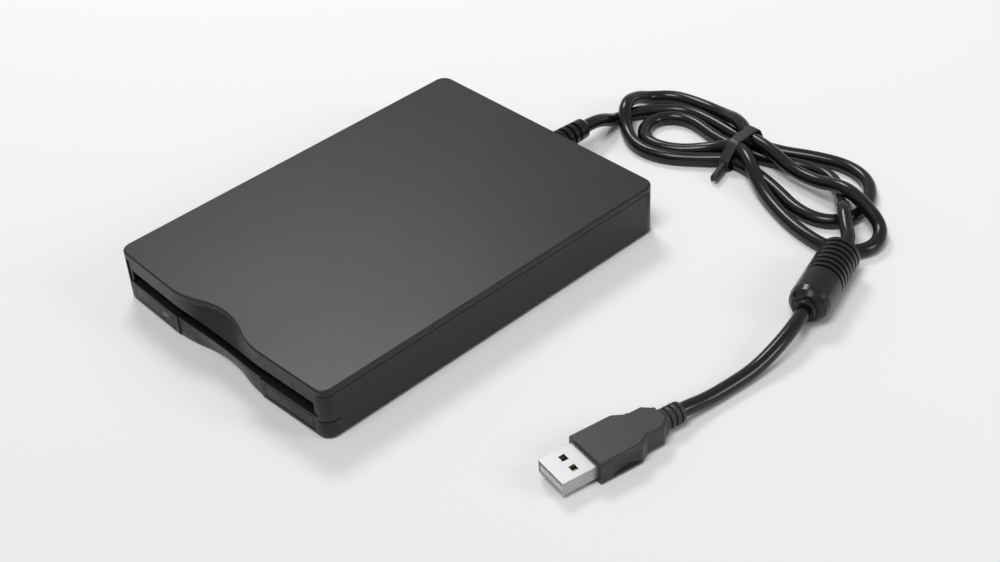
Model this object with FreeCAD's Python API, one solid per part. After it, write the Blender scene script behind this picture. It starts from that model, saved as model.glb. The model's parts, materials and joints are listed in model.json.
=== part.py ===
"""Slim external floppy disk drive with its cord, ferrite core and plug. All sizes are in millimetres.

The frame: X runs across the front, -Y is the front with the disk slot and +Z is up. The origin lies on the
surface that the drive stands on, under the middle of the housing. At rest the drive is empty, the eject
button is in, the disk holder is up and the heads stand over the outermost track.
"""

import FreeCAD
import Part
import math
import os

V = FreeCAD.Vector
X, Y, Z = V(1, 0, 0), V(0, 1, 0), V(0, 0, 1)

# The disk that the drive takes, a standard size.
disk_width = 90.0
disk_length = 94.0
disk_thick = 3.3
hub_to_leading_edge = 45.0
inner_track_radius = 24.7
track_travel = 14.8

# Clearances.
run_gap = 0.3        # between pieces that move past each other
seat_gap = 0.1       # between pieces that are pushed together by hand
shaft_gap = 0.06     # radial, round a turning shaft or a sliding rod
disk_side_gap = 0.3
far = 300.0          # longer than anything that is cut

# Housing. It is built round the mechanism, with these rooms and walls.
side_room = 1.9      # from the mechanism's shield to the side wall
cover_room = 1.6     # from the shield to the cover
disk_setback = 6.0   # of a loaded disk, behind the crests of the front
board_room = 1.6     # from the mechanism to the interface board
board_rear_gap = 1.4
foot_proud = 0.8
side_wall = 1.6
floor_wall = 1.6
cover_wall = 1.8
cover_edge = 2.3
seam_gap = 0.25
corner_radius = 4.0
cover_round = 0.6

# The waved front: wings that swell forward to two crests, with a finger recess between them.
crest_inside = 2.0   # of the crests, from the pads towards the middle
crest_radius = 26.0
wing_rise = 1.0
top_recess = 4.8     # of the cover's edge, behind the crests
lip_recess = 3.6     # of the lip over the slot
sill_recess = 0.5    # of the lip under the slot
low_recess = 2.8     # of the front's lower edge

# Front bezel, dust door, pads and eject button.
column_width = 3.6
bezel_depth = 6.6    # from the crests to its back
bezel_inset = 0.4    # of its face, behind the cover and the pads
slot_over_disk = 0.7
slot_under_disk = 0.6
slot_side = 1.7
sill_groove = (1.7, 3.4)  # from the crests, front and back of the groove in front of the door
sill_groove_depth = 1.6
door_setback = 1.2   # behind the deepest point of the upper lip
door_thick = 0.9
door_gap = 0.2
hinge_radius = 0.6
pivot_radius = 0.5
door_pocket_rise = 1.7
pad_side = 2.4       # from the end of the bezel
pad_width = 22.0
pad_height = 5.0
pad_rise = 1.2       # of its lower edge above the bottom of the bezel
pad_back = 7.0       # from the crests to the back of the button
block_inside = 2.5   # of the pads' blocks, from the pads towards the middle
bezel_joint_side = 8.0  # from the button's outer end
hook_inside = 16.0   # of the cover's hooks, from the pads' outer ends
hook_half = 5.0
groove = 0.3
lens_inside = 5.0    # from the left pad's inner end
lens_width = 3.0
lens_height = 1.4

# Screws and feet.
foot_radius = 4.2
foot_recess = 0.4
foot_side = 9.0      # from the side of the housing
foot_front = 12.0
foot_rear = 20.0
screw_radius = 1.15
screw_head_radius = 2.5
screw_head = 0.9
screw_hole_gap = 0.25
head_gap = 0.3
boss_radius = 3.6
boss_rise = 0.5
case_screw_side = 8.0
case_screw_rear = 6.5
case_boss_height = 6.6

# Mechanism.
mech_front = 8.3     # behind the crests
positioner_rear = 13.0  # from the upper arm's hinge to the mechanism's rear
chassis_sheet = 0.8
rail_thick = 1.0
shield_sheet = 0.5
holder_sheet = 0.5
slider_sheet = 0.6
disk_rise = 5.6      # of the inserted disk above the mechanism's base
load_drop = 2.0      # of the disk holder
button_stroke = 4.5
button_press = 0.5
guide_pin_radius = 0.8
guide_pin_rise = 1.5  # of its axis above the inserted disk's lower face
pin_front = 22.0     # of the front guide pins, behind the crests
pin_rear = 8.0       # of the rear guide pins, in front of the disk's leading edge
holder_front = 11.5  # behind the crests
holder_rear_over = 3.0
cross_member = 8.0
spring_inside = 8.1  # of the springs, from the slider's sides
spring_radius = 1.1
spring_front = 22.0  # of the fixed hooks, behind the crests
spring_span = 20.0

# Spindle.
spindle_radius = 1.5
hub_pin_radius = 1.95
rotor_radius = 18.0
rotor_sheet = 0.5
magnet_width = 1.9
bearing_wall = 1.9
coil_count = 9
coil_radius = 2.3
coil_ring = 11.0
hub_radius = 11.0
drive_pin_ring = 9.7
drive_pin_radius = 1.0
motor_board_size = (48.0, 37.0)
board_thick = 0.8

# Head positioner.
head_gap_to_media = 0.1
head_pad = 3.0       # half its width
head_depth = 4.0
arm_length = 24.5
arm_half_width = 5.5
arm_thick = 0.9
arm_axis_rise = 0.8  # above the lower face of the disk holder's top plate
arm_pin_radius = 0.6
tower_half_width = 8.0
ear_thick = 1.5
screw_x = -17.0
lead_radius = 1.5
lead_pitch = 3.75
stepper_radius = 4.1
stepper_length = 10.4
nut_half = 1.0
rod_x = 14.0
rod_radius = 1.0
lever_side = 3.3     # of its post, inside the disk holder's side
lever_behind = 7.0   # of its post, behind the disk's leading edge
lever_gap = 0.5      # over the disk holder
lever_room = 0.9     # from the lever to the shield
lever_length = 26.0
lever_turn = 60.0
lever_pin_radius = 1.5
lever_tip_radius = 1.2
lever_thick = 0.8
lever_rest = -106.8  # direction of the arm at rest, in degrees from +X

# Interface board at the rear.
usb_board_depth = 7.4
usb_board_left = 16.4   # from the side wall
usb_board_right = 12.4  # from the side wall
usb_board_rise = 1.8
cable_width = 14.0
cable_side = 13.0    # of the cable's middle, inside the lever's post

# Cord and what is on it.
cord_diameter = 4.8
cord_rise = 9.0      # of its exit above the surface
boot_length = 20.0
boot_radius = 4.6
boot_tip_radius = 3.7
boot_rings = 5
hank_height = 10.0
tie_x = (44.5, 49.0)
tie_thick = 1.1
ferrite_radius = 6.75
ferrite_length = 34.0
ferrite_rings = 7
ferrite_near = V(120.8, 63.5, 0)
ferrite_heading = -73.0
plug_neck = V(120.9, 6.3, 0)
plug_heading = -100.5
plug_width = 15.6
plug_height = 8.0
plug_block = 14.5
plug_waist = 6.0
plug_waist_side = 2.0   # the waist is this much narrower on each side
plug_tapers = (3.4, 2.6)  # from the block to the waist, and from the waist to the neck
plug_grip_radius = 16.0
plug_grip_depth = 1.0
plug_neck_length = 8.0
shell_width = 12.0
shell_height = 4.5
shell_sheet = 0.3
shell_out = 12.0
shell_in = 5.0

# What follows from them: heights, from the surface up.
case_low = foot_proud
floor_top = case_low + floor_wall
mech_base = floor_top + boss_rise
chassis_top = mech_base + chassis_sheet
disk_low = mech_base + disk_rise
disk_high = disk_low + disk_thick
slot_low = disk_low - slot_under_disk
slot_high = disk_high + slot_over_disk
holder_top = disk_high + 0.6
lever_low = holder_top + holder_sheet + lever_gap
rail_top = lever_low + lever_thick + lever_room
mech_top = rail_top + shield_sheet
cover_inner = mech_top + cover_room
body_height = cover_inner + cover_wall
cover_low = body_height - cover_edge
case_top = cover_low - seam_gap
flange_top = disk_low - 0.4
guide_pin_z = disk_low + guide_pin_rise
slider_low = chassis_top + run_gap
loaded_low = disk_low - load_drop
media_z = loaded_low + disk_thick / 2
lower_head_top = media_z - head_gap_to_media
upper_head_low = holder_top
arm_axis_z = holder_top + arm_axis_rise
arm_drop = math.degrees(math.asin((upper_head_low - lower_head_top - run_gap) / (arm_length + head_depth / 2)))
screw_z = chassis_top + 4.2
rod_z = chassis_top + rod_radius + 0.2
carriage_low = chassis_top + 0.7
carriage_top = loaded_low - run_gap
pad_low = case_low + pad_rise
pad_high = pad_low + pad_height
hinge_z = slot_high + hinge_radius + 0.15
door_pocket_high = slot_high + door_pocket_rise
case_boss_top = floor_top + case_boss_height

# Widths, from the disk outwards.
slot_half = disk_width / 2 + slot_side
holder_x = disk_width / 2 + disk_side_gap
slider_x = holder_x + holder_sheet + run_gap
rail_x = slider_x + slider_sheet + run_gap
mech_half = rail_x + rail_thick
inner_x = mech_half + shield_sheet + side_room
half_width = inner_x + side_wall
bezel_half = half_width - column_width
pad_outer_x = bezel_half - pad_side
pad_inner_x = pad_outer_x - pad_width
block_inner_x = pad_inner_x - block_inside
crest_x = pad_inner_x - crest_inside
bezel_joint_x = pad_outer_x - bezel_joint_side
hook_x = pad_outer_x - hook_inside
lens_x = -pad_inner_x - lens_inside
spring_x = slider_x - spring_inside
lever_x = holder_x - lever_side
cable_x = lever_x - cable_side
usb_board_x = (usb_board_left - inner_x, inner_x - usb_board_right)
case_screw_x = half_width - case_screw_side

# Depths, from the crests back, with the origin in the middle.
edge_to_axis = inner_track_radius + track_travel + arm_length - hub_to_leading_edge
mech_rear_depth = disk_setback + disk_length + edge_to_axis + positioner_rear
body_depth = mech_rear_depth + board_room + usb_board_depth + board_rear_gap + side_wall
rear_y = body_depth / 2
crest_y = -rear_y
inner_rear_y = rear_y - side_wall
bezel_back = crest_y + bezel_depth
flange_back = bezel_back + 1.3
mech_y = crest_y + mech_front
mech_rear = crest_y + mech_rear_depth
holder_y = crest_y + holder_front
leading_edge = crest_y + disk_setback + disk_length
holder_rear = leading_edge + holder_rear_over
spindle_y = leading_edge - hub_to_leading_edge
head_y = spindle_y + inner_track_radius + track_travel
arm_axis_y = head_y + arm_length
nut_y = arm_axis_y - 1.0
guide_pin_ys = (crest_y + pin_front, leading_edge - pin_rear)
spring_front_y = crest_y + spring_front
spring_rear_y = spring_front_y + spring_span
lever_y = leading_edge + lever_behind
door_y = crest_y + lip_recess + door_setback
hinge_y = door_y + door_thick / 2
case_screw_y = rear_y - case_screw_rear
mech_screws = [(s * (mech_half - 5.0), y) for s in (-1, 1) for y in (mech_y + 18.7, mech_rear - 36.0)]
usb_board_low = floor_top + usb_board_rise
usb_board_y = inner_rear_y - board_rear_gap - usb_board_depth
cord_radius = cord_diameter / 2


def box(x0, x1, y0, y1, z0, z1):
    """A box between two corners."""
    return Part.makeBox(x1 - x0, y1 - y0, z1 - z0, V(x0, y0, z0))


def rod(x, y, z, radius, length, axis=Z):
    """A cylinder that starts at a point and runs along an axis."""
    return Part.makeCylinder(radius, length, V(x, y, z), axis)


def tube(x, y, z, outer, inner, length, axis=Z):
    """A hollow cylinder."""
    return rod(x, y, z, outer, length, axis).cut(rod(x, y, z, inner, length, axis))


def both_sides(shape):
    """A shape and its mirror image across the middle plane X = 0."""
    return [shape, shape.mirror(V(0, 0, 0), X)]


def join(*shapes):
    """One solid from overlapping shapes."""
    return shapes[0].multiFuse(list(shapes[1:])).removeSplitter()


def carve(shape, *tools):
    """A shape with several tools cut out of it."""
    return shape.cut(Part.makeCompound(list(tools)))


def rounded(shape, radius, chosen):
    """Rounds the edges that a test picks."""
    return shape.makeFillet(radius, [e for e in shape.Edges if chosen(e)])


def upright(edge):
    """True for a straight edge along Z."""
    return abs(edge.tangentAt(edge.FirstParameter).z) > 0.999


def turned(profile, start, direction):
    """A solid of revolution: (radius, distance along the axis) pairs, turned round an axis from start."""
    points = [V(r, 0, t) for r, t in profile]
    face = Part.Face(Part.makePolygon(points + points[:1]))
    solid = face.revolve(V(0, 0, 0), Z, 360)
    solid.Placement = FreeCAD.Placement(start, FreeCAD.Rotation(Z, direction))
    return solid


def front_wave(inset, recess):
    """The edges of the waved front, from the left corner to the right one.

    Each wing is straight and ends in an arc at its crest. Two arcs with a common tangent lead from each crest
    to the deepest point in the middle.
    """
    half, crest, corner = half_width - inset, crest_y + inset, crest_y + wing_rise + inset
    to_centre = math.hypot(half - crest_x, crest + crest_radius - corner)
    reach = math.sqrt(to_centre ** 2 - crest_radius ** 2)
    slope = math.atan2(crest + crest_radius - corner, crest_x - half) + math.asin(crest_radius / to_centre)
    wing_end = V(half + reach * math.cos(slope), corner + reach * math.sin(slope), 0)
    wing_turn = math.asin((wing_end.x - crest_x) / crest_radius) / 2
    on_wing = V(crest_x + crest_radius * math.sin(wing_turn),
                crest + crest_radius * (1 - math.cos(wing_turn)), 0)
    bend = 2 * math.atan(recess / crest_x)
    radius = crest_x / 2 / math.sin(bend)
    on_flank = V(crest_x - radius * math.sin(bend / 2), crest + radius * (1 - math.cos(bend / 2)), 0)
    half_way = V(crest_x / 2, crest + recess / 2, 0)
    top, deepest = V(crest_x, crest, 0), V(0, crest + recess, 0)

    def left(p):
        return V(-p.x, p.y, 0)

    return [
        Part.LineSegment(V(-half, corner, 0), left(wing_end)),
        Part.Arc(left(wing_end), left(on_wing), left(top)),
        Part.Arc(left(top), left(on_flank), left(half_way)),
        Part.Arc(left(half_way), deepest, half_way),
        Part.Arc(half_way, on_flank, top),
        Part.Arc(top, on_wing, wing_end),
        Part.LineSegment(wing_end, V(half, corner, 0)),
    ]


def housing_block(z0, z1, inset=0.0, recess=top_recess, recess_above=None):
    """A slice of the whole housing between two heights, with its waved front and round corners.

    The recess in the middle of the front may change from the slice's foot to its top.
    """
    half, rear, corner = half_width - inset, rear_y - inset, crest_y + wing_rise + inset
    sides = [
        Part.LineSegment(V(half, corner, 0), V(half, rear, 0)),
        Part.LineSegment(V(half, rear, 0), V(-half, rear, 0)),
        Part.LineSegment(V(-half, rear, 0), V(-half, corner, 0)),
    ]
    wires = []
    for z, depth in ((z0, recess), (z1, recess if recess_above is None else recess_above)):
        wire = Part.Wire([s.toShape() for s in front_wave(inset, depth) + sides])
        wire.translate(V(0, 0, z))
        wires.append(wire)
    if recess_above is None:
        block = Part.Face(wires[0]).extrude(V(0, 0, z1 - z0))
    else:
        block = Part.makeLoft(wires, True, True)

    def at_corner(edge):
        middle = edge.CenterOfMass
        on_end = abs(middle.y - rear) < 0.01 or abs(middle.y - corner) < 0.01
        return upright(edge) and abs(abs(middle.x) - half) < 0.01 and on_end

    return rounded(block, corner_radius - inset, at_corner)


def evenly(first, last, count):
    """Evenly spaced values from the first to the last."""
    return [first + (last - first) * i / (count - 1) for i in range(count)]


def foot_places():
    """Centres of the four feet."""
    x = half_width - foot_side
    return [(s * x, y) for s in (-1, 1) for y in (crest_y + foot_front, rear_y - foot_rear)]


def screw(x, y, z, length):
    """A screw from below: a flat head with a cross recess at z, and its shank above it."""
    head = rod(x, y, z, screw_head_radius, screw_head)
    arm = screw_head_radius * 0.6
    cross = [box(x - arm, x + arm, y - 0.25, y + 0.25, z, z + 0.5)]
    cross.append(box(x - 0.25, x + 0.25, y - arm, y + arm, z, z + 0.5))
    return join(carve(head, *cross), rod(x, y, z + screw_head - 0.1, screw_radius, length - screw_head + 0.1))


def bottom_case():
    """The tub: floor, side and rear walls, front columns, bosses, ribs and snap grooves."""
    shell = housing_block(case_low, case_top)
    room = box(-inner_x, inner_x, flange_back, inner_rear_y, floor_top, far)
    window = box(-slot_half - 0.4, slot_half + 0.4, bezel_back, flange_back + 1, floor_top, far)
    front = box(-bezel_half - seat_gap, bezel_half + seat_gap, -far, bezel_back + seat_gap, -1, far)
    shell = carve(shell, room, window, front)

    solids, holes = [], []
    for x, y in mech_screws:
        solids.append(rod(x, y, floor_top - 0.5, boss_radius, boss_rise + 0.5))
        holes.append(rod(x, y, 0, screw_head_radius + head_gap, case_low + 1.1))
        holes.append(rod(x, y, 0, screw_radius + screw_hole_gap, far))
    for s in (-1, 1):
        x, y = s * case_screw_x, case_screw_y
        solids.append(rod(x, y, floor_top - 0.5, boss_radius, case_boss_top - floor_top + 0.5))
        holes.append(rod(x, y, 0, screw_head_radius + head_gap, case_low + 3.0))
        holes.append(rod(x, y, 0, screw_radius + screw_hole_gap, far))
    for x in usb_board_x:
        post = x + math.copysign(4.0, -x)
        solids.append(rod(post, usb_board_y + usb_board_depth / 2, floor_top - 0.5, 2.2, usb_board_rise + 0.5))
    for y in evenly(crest_y + 32.0, rear_y - 37.0, 4):
        rib = box(mech_half + shield_sheet + run_gap, inner_x + 0.5, y, y + 1.2, floor_top - 0.5, case_top - 2.4)
        solids += both_sides(rib)
    for x, y in foot_places():
        holes.append(rod(x, y, 0, foot_radius + seat_gap, case_low + foot_recess))
    for y in snap_ys():
        holes += both_sides(rod(inner_x - 0.1, y - 4.3, snap_z(), 0.6, 8.6, Y))
    holes.append(rod(0, inner_rear_y - 1, cord_rise, boot_neck_radius() + seat_gap / 2, side_wall + 2, Y))
    holes.append(box(pad_inner_x - run_gap, pad_outer_x + run_gap, -far, flange_back, pad_low - run_gap,
                     floor_top + 1))
    shell = carve(join(shell, *solids), *holes)
    return shell.cut(corner_grooves())


def corner_grooves():
    """The fine lines round the two front columns, level with the foot of the slot."""
    ring = housing_block(slot_low - 1.4, slot_low - 1.0, -1.0).cut(housing_block(slot_low - 2, slot_low, groove))
    sides = [box(bezel_half, far, -far, crest_y + wing_rise + corner_radius + 1.5, 0, far)]
    return ring.common(Part.makeCompound(both_sides(sides[0])))


def snap_ys():
    """Middles of the snap beads along each side."""
    return evenly(crest_y + 37.0, rear_y - 27.0, 3)


def snap_z():
    """Height of the snap beads."""
    return case_top - 0.9


def boot_neck_radius():
    """Radius of the cord boot where it passes the rear wall."""
    return boot_radius - 1.2


def top_cover():
    """The lid: a plate with the waved front, an inner tongue with snap beads, hooks, ribs and screw bosses."""
    plate = housing_block(cover_low, body_height)
    plate = rounded(plate, cover_round, lambda e: e.BoundBox.ZMin > body_height - 0.001)
    plate = plate.cut(box(-inner_x, inner_x, bezel_back, inner_rear_y, 0, cover_inner))

    out_x, out_y, low = inner_x - 0.15, inner_rear_y - 0.15, case_top - 1.5
    ring = box(-out_x, out_x, flange_back + 2, out_y, low, cover_inner + 0.5)
    ring = ring.cut(box(-out_x + 0.9, out_x - 0.9, -far, out_y - 0.9, 0, far))
    beads, ribs, bosses, holes = [], [], [], []
    for y in snap_ys():
        beads += both_sides(rod(out_x - 0.1, y - 4, snap_z(), 0.45, 8, Y))
    rib_low = mech_top + run_gap
    rib_half = inner_x - 10.4
    for y in evenly(crest_y + 32.0, rear_y - 32.0, 3):
        ribs.append(box(-rib_half, rib_half, y, y + 1.2, rib_low, cover_inner + 0.5))
    for s in (-1, 1):
        x, y = s * case_screw_x, case_screw_y
        bosses.append(rod(x, y, case_boss_top + run_gap, boss_radius - 0.4, cover_inner - case_boss_top))
        holes.append(rod(x, y, 0, screw_radius, case_boss_top + run_gap + 4.5))
        bosses.append(box(s * hook_x - hook_half, s * hook_x + hook_half, bezel_back + 0.2, bezel_back + 1.2,
                          door_pocket_high + 0.3, cover_inner + 0.5))
        bosses.append(box(s * hook_x - hook_half, s * hook_x + hook_half, bezel_back - 0.5, bezel_back + 0.7,
                          door_pocket_high + 0.6, door_pocket_high + 1.2))
    return carve(join(plate, ring, *beads, *ribs, *bosses), *holes)


def pad_region(x0, x1, inset):
    """The part of the housing's front that a pad or the button fills, as deep as the bezel."""
    return housing_block(pad_low, pad_high, inset).common(box(x0, x1, -far, bezel_back, 0, far))


def front_bezel():
    """The front piece: two curved lips, slot, door pocket, raised blocks, and holes for button, lens and hooks."""
    lower = housing_block(case_low, slot_low)
    blocks = [lower.common(b) for b in both_sides(box(block_inner_x, far, -far, far, 0, far))]
    face = join(housing_block(case_low, slot_low, bezel_inset, low_recess, sill_recess),
                housing_block(slot_low, door_pocket_high, bezel_inset, lip_recess),
                housing_block(door_pocket_high, case_top, bezel_inset, lip_recess, top_recess), *blocks)
    bezel = face.common(box(-bezel_half, bezel_half, -far, bezel_back, 0, far))

    slot = box(-slot_half, slot_half, -far, far, slot_low, slot_high)
    pocket = box(-slot_half, slot_half, door_y - 0.2, far, slot_high - 0.1, door_pocket_high)
    spring_room = box(-slot_half, -slot_half + 4, door_y - 0.9, far, slot_high - 0.1, door_pocket_high + 0.4)
    pivots = rod(-slot_half - 1.3, hinge_y, hinge_z, pivot_radius + shaft_gap, 2 * slot_half + 2.6, X)
    bezel = carve(bezel, slot, pocket, spring_room, pivots)

    sill = box(-block_inner_x, block_inner_x, crest_y + sill_groove[0], crest_y + sill_groove[1],
               slot_low - sill_groove_depth, slot_low + 0.1)
    gap = run_gap - 0.05
    button_hole = box(pad_inner_x - gap, pad_outer_x + gap, -far, far, pad_low - gap, pad_high + gap)
    frame = box(-pad_outer_x - gap, -pad_inner_x + gap, -far, far, pad_low - gap, pad_high + gap)
    frame = carve(frame, box(-pad_outer_x, -pad_inner_x, -far, far, pad_low, pad_high),
                  housing_block(0, far, 0.9))
    joint = box(bezel_joint_x, bezel_joint_x + groove, -far, far, slot_high - 0.1, case_top + 1)
    joint = joint.cut(housing_block(0, far, bezel_inset + 0.5))
    lamp_room = box(lens_x - 5, lens_x + 5, crest_y + 2.8, far, pad_low + 0.5, pad_high - 0.5)
    lens_hole = box(lens_x - lens_width / 2, lens_x + lens_width / 2, -far, crest_y + 3,
                    lens_z() - lens_height / 2, lens_z() + lens_height / 2)
    hooks = []
    for x in (-hook_x, hook_x):
        hooks.append(box(x - hook_half - run_gap, x + hook_half + run_gap, bezel_back - 0.8, far,
                         door_pocket_high + 0.3, door_pocket_high + 1.5))
    return carve(bezel, sill, button_hole, frame, joint, lamp_room, lens_hole, *hooks)


def lens_z():
    """Height of the activity lamp's lens."""
    return (pad_low + pad_high) / 2


def led_lens():
    """The clear window of the activity lamp: a light pipe with a flange behind the pad."""
    pipe = housing_block(0, far).common(box(
        lens_x - lens_width / 2 + 0.05, lens_x + lens_width / 2 - 0.05, -far, crest_y + 3.4,
        lens_z() - lens_height / 2 + 0.05, lens_z() + lens_height / 2 - 0.05))
    flange = box(lens_x - 2.2, lens_x + 2.2, crest_y + 2.85, crest_y + 3.6, lens_z() - 1.4, lens_z() + 1.4)
    return join(pipe, flange)


def activity_led():
    """The lamp behind the lens: a dome on a base."""
    start = V(lens_x, bezel_back - 0.1, lens_z())
    return turned([(0, 0), (1.7, 0), (1.7, 0.6), (1.4, 0.6), (1.4, 1.8), (0.8, 2.5), (0, 2.7)], start, -Y)


def dust_door():
    """The flap that closes the slot, with its hinge barrel and end pivots."""
    half = slot_half - 0.4
    leaf = box(-half, half, door_y, door_y + door_thick, slot_low + door_gap, hinge_z)
    leaf = leaf.cut(box(door_spring_x() - 0.2, door_spring_x() + 2.2, -far, far, hinge_z - 1.3, far))
    lip = box(-half, half, door_y, door_y + door_thick + 0.5, slot_low + door_gap, slot_low + door_gap + 0.7)
    barrel = rod(-half, hinge_y, hinge_z, hinge_radius, 2 * half, X)
    pivots = rod(-slot_half - 1.0, hinge_y, hinge_z, pivot_radius, 2 * slot_half + 2.0, X)
    return join(leaf, lip, barrel, pivots)


def door_spring_x():
    """Left end of the door spring."""
    return -slot_half + 1.2


def door_spring():
    """The small torsion spring round the door's barrel, with one leg on the door and one on the bezel."""
    x = door_spring_x()
    inner, outer = hinge_radius + 0.05, hinge_radius + 0.45
    coil = tube(x, hinge_y, hinge_z, outer, inner, 2.0, X)
    door_leg = rod(x + 1.8, hinge_y + outer - 0.2, hinge_z - 2.6, 0.2, 2.6)
    bezel_leg = rod(x + 0.2, hinge_y, hinge_z + outer - 0.2, 0.2, 1.6, Y)
    return join(coil, door_leg, bezel_leg)


def eject_button():
    """The button in the right pad's place, with its stem to the slider plate."""
    cap = pad_region(pad_inner_x, pad_outer_x, 0.0)
    cap = cap.cut(box(-far, far, crest_y + pad_back, far, 0, far))

    def at_face(edge):
        return edge.BoundBox.YMax < crest_y + wing_rise + 0.01 and edge.BoundBox.XLength > 5

    cap = rounded(cap, 0.4, at_face)
    hollow = box(pad_inner_x + 1.2, pad_outer_x - 1.2, crest_y + 3.4, far, pad_low + 1.0, pad_high - 1.0)
    stem_x = (pad_inner_x + pad_outer_x) / 2
    stem = box(stem_x - 3, stem_x + 3, crest_y + 3.0, slider_y(), slider_low, pad_high - 1.2)
    return join(cap.cut(hollow), stem)


def slider_y():
    """Front of the slider plate, which stays behind the bezel when a disk has let it forward."""
    return bezel_back + seat_gap + run_gap + button_stroke


def slider_plate():
    """The plate that the button pushes: a cross-member and two flanges with inclined cam slots."""
    y0, top = slider_y(), holder_top - 0.1
    cross = box(-slider_x, slider_x, y0, y0 + cross_member, slider_low, slider_low + slider_sheet)
    stem_x = (pad_inner_x + pad_outer_x) / 2
    tab = box(stem_x - 4.5, stem_x + 4.5, y0, y0 + slider_sheet, slider_low, pad_high - 1.0)
    pieces = [cross, tab]
    side = box(slider_x, slider_x + slider_sheet, y0, guide_pin_ys[1] + 18, slider_low, top)
    under_door = box(0, far, y0 - 1, guide_pin_ys[0] - 4, slot_low - 0.4, far)
    window = box(0, far, guide_pin_ys[0] + 12, guide_pin_ys[1] - 12, slider_low + 2.6, top - 1.6)
    flange = carve(side, under_door, window, *[cam_slot(y) for y in guide_pin_ys])
    web = box(slider_x - 0.5, slider_x + slider_sheet, y0, y0 + cross_member, slider_low,
              slider_low + slider_sheet)
    hook = box(spring_x - 0.8, slider_x + 0.1, spring_rear_y, spring_rear_y + 2, slider_low,
               slider_low + slider_sheet)
    ear = box(spring_x - 0.8, spring_x + 0.8, spring_rear_y, spring_rear_y + slider_sheet, slider_low,
              slider_low + 1.9)
    for shape in (flange, web, hook, ear):
        pieces += both_sides(shape)
    return join(*pieces)


def cam_slot(y):
    """An inclined slot for one guide pin, from the pressed to the loaded end of the stroke."""
    radius = guide_pin_radius + shaft_gap
    fall = load_drop / button_stroke
    start = V(0, y - button_press - 0.1, guide_pin_z + fall * (button_press + 0.1))
    end = V(0, y + button_stroke + 0.1, guide_pin_z - fall * (button_stroke + 0.1))
    return stadium(start, end, radius)


def stadium(start, end, radius):
    """A cutter with round ends along X, between two points of the YZ plane."""
    across = (end - start).normalize().cross(X) * radius
    corners = [start + across, end + across, end - across, start - across]
    ends = [end + (end - start).normalize() * radius, start - (end - start).normalize() * radius]
    edges = [
        Part.LineSegment(corners[0], corners[1]),
        Part.Arc(corners[1], ends[0], corners[2]),
        Part.LineSegment(corners[2], corners[3]),
        Part.Arc(corners[3], ends[1], corners[0]),
    ]
    return Part.Face(Part.Wire([e.toShape() for e in edges])).extrude(V(far, 0, 0))


def slider_springs():
    """The two springs that pull the slider plate forward when a disk has released it."""
    low = slider_low + slider_sheet + 0.3
    start = spring_front_y + 0.6 + run_gap
    length = spring_rear_y - 0.1 - start
    spring = tube(spring_x, start, low + spring_radius, spring_radius, spring_radius - 0.5, length, Y)
    hooks = [tube(spring_x, start - 0.6, low + spring_radius, 0.75, 0.3, 0.8, Y)]
    return Part.makeCompound(both_sides(join(spring, *hooks)))


def disk_holder():
    """The carrier that takes the disk: a top plate with turned-in flanges under the disk's edges."""
    top = holder_top + holder_sheet
    plate = box(-holder_x - holder_sheet, holder_x + holder_sheet, holder_y, holder_rear, holder_top, top)
    tongue = box(arm_half_width + 3.8, arm_half_width + 7.5, holder_rear - 1, arm_axis_y - 10, holder_top, top)
    side = box(holder_x, holder_x + holder_sheet, holder_y, holder_rear, flange_top - holder_sheet, top)
    flange = box(holder_x - 3, holder_x + holder_sheet, holder_y, holder_rear, flange_top - holder_sheet,
                 flange_top)
    shell = join(plate, tongue, *both_sides(side), *both_sides(flange))
    head_slot = box(-arm_half_width - 3.5, arm_half_width + 3.5, head_y - track_travel - 6, far,
                    holder_top - 1, top + 1)
    windows = both_sides(box(holder_x - 30.3, holder_x - 12.3, holder_y + 12, holder_y + 34, holder_top - 1, top + 1))
    hub_window = rod(0, spindle_y, holder_top - 1, 9.0, 3)
    return carve(shell, head_slot, hub_window, lever_slot(), *windows)


def lever_slot():
    """The curved slot in the holder's top plate that the eject lever's tip runs along."""
    margin, outer = 4.0, lever_length + lever_tip_radius + 0.6
    ring = tube(lever_x, lever_y, holder_top - 1, outer, outer - 2 * (lever_tip_radius + 0.6), 3)
    start = lever_rest + margin
    sweep = lever_turn + 2 * margin
    sector = Part.makeCylinder(2 * lever_length, 3, V(lever_x, lever_y, holder_top - 1), Z, sweep)
    sector.rotate(V(lever_x, lever_y, 0), Z, start - sweep)
    return ring.common(sector)


def holder_pins():
    """The four riveted pins that carry the disk holder in the cam slots."""
    pins = []
    for y in guide_pin_ys:
        pins += both_sides(rod(holder_x + holder_sheet, y, guide_pin_z, guide_pin_radius,
                               mech_half - holder_x - holder_sheet - 0.2, X))
    return Part.makeCompound(pins)


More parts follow.
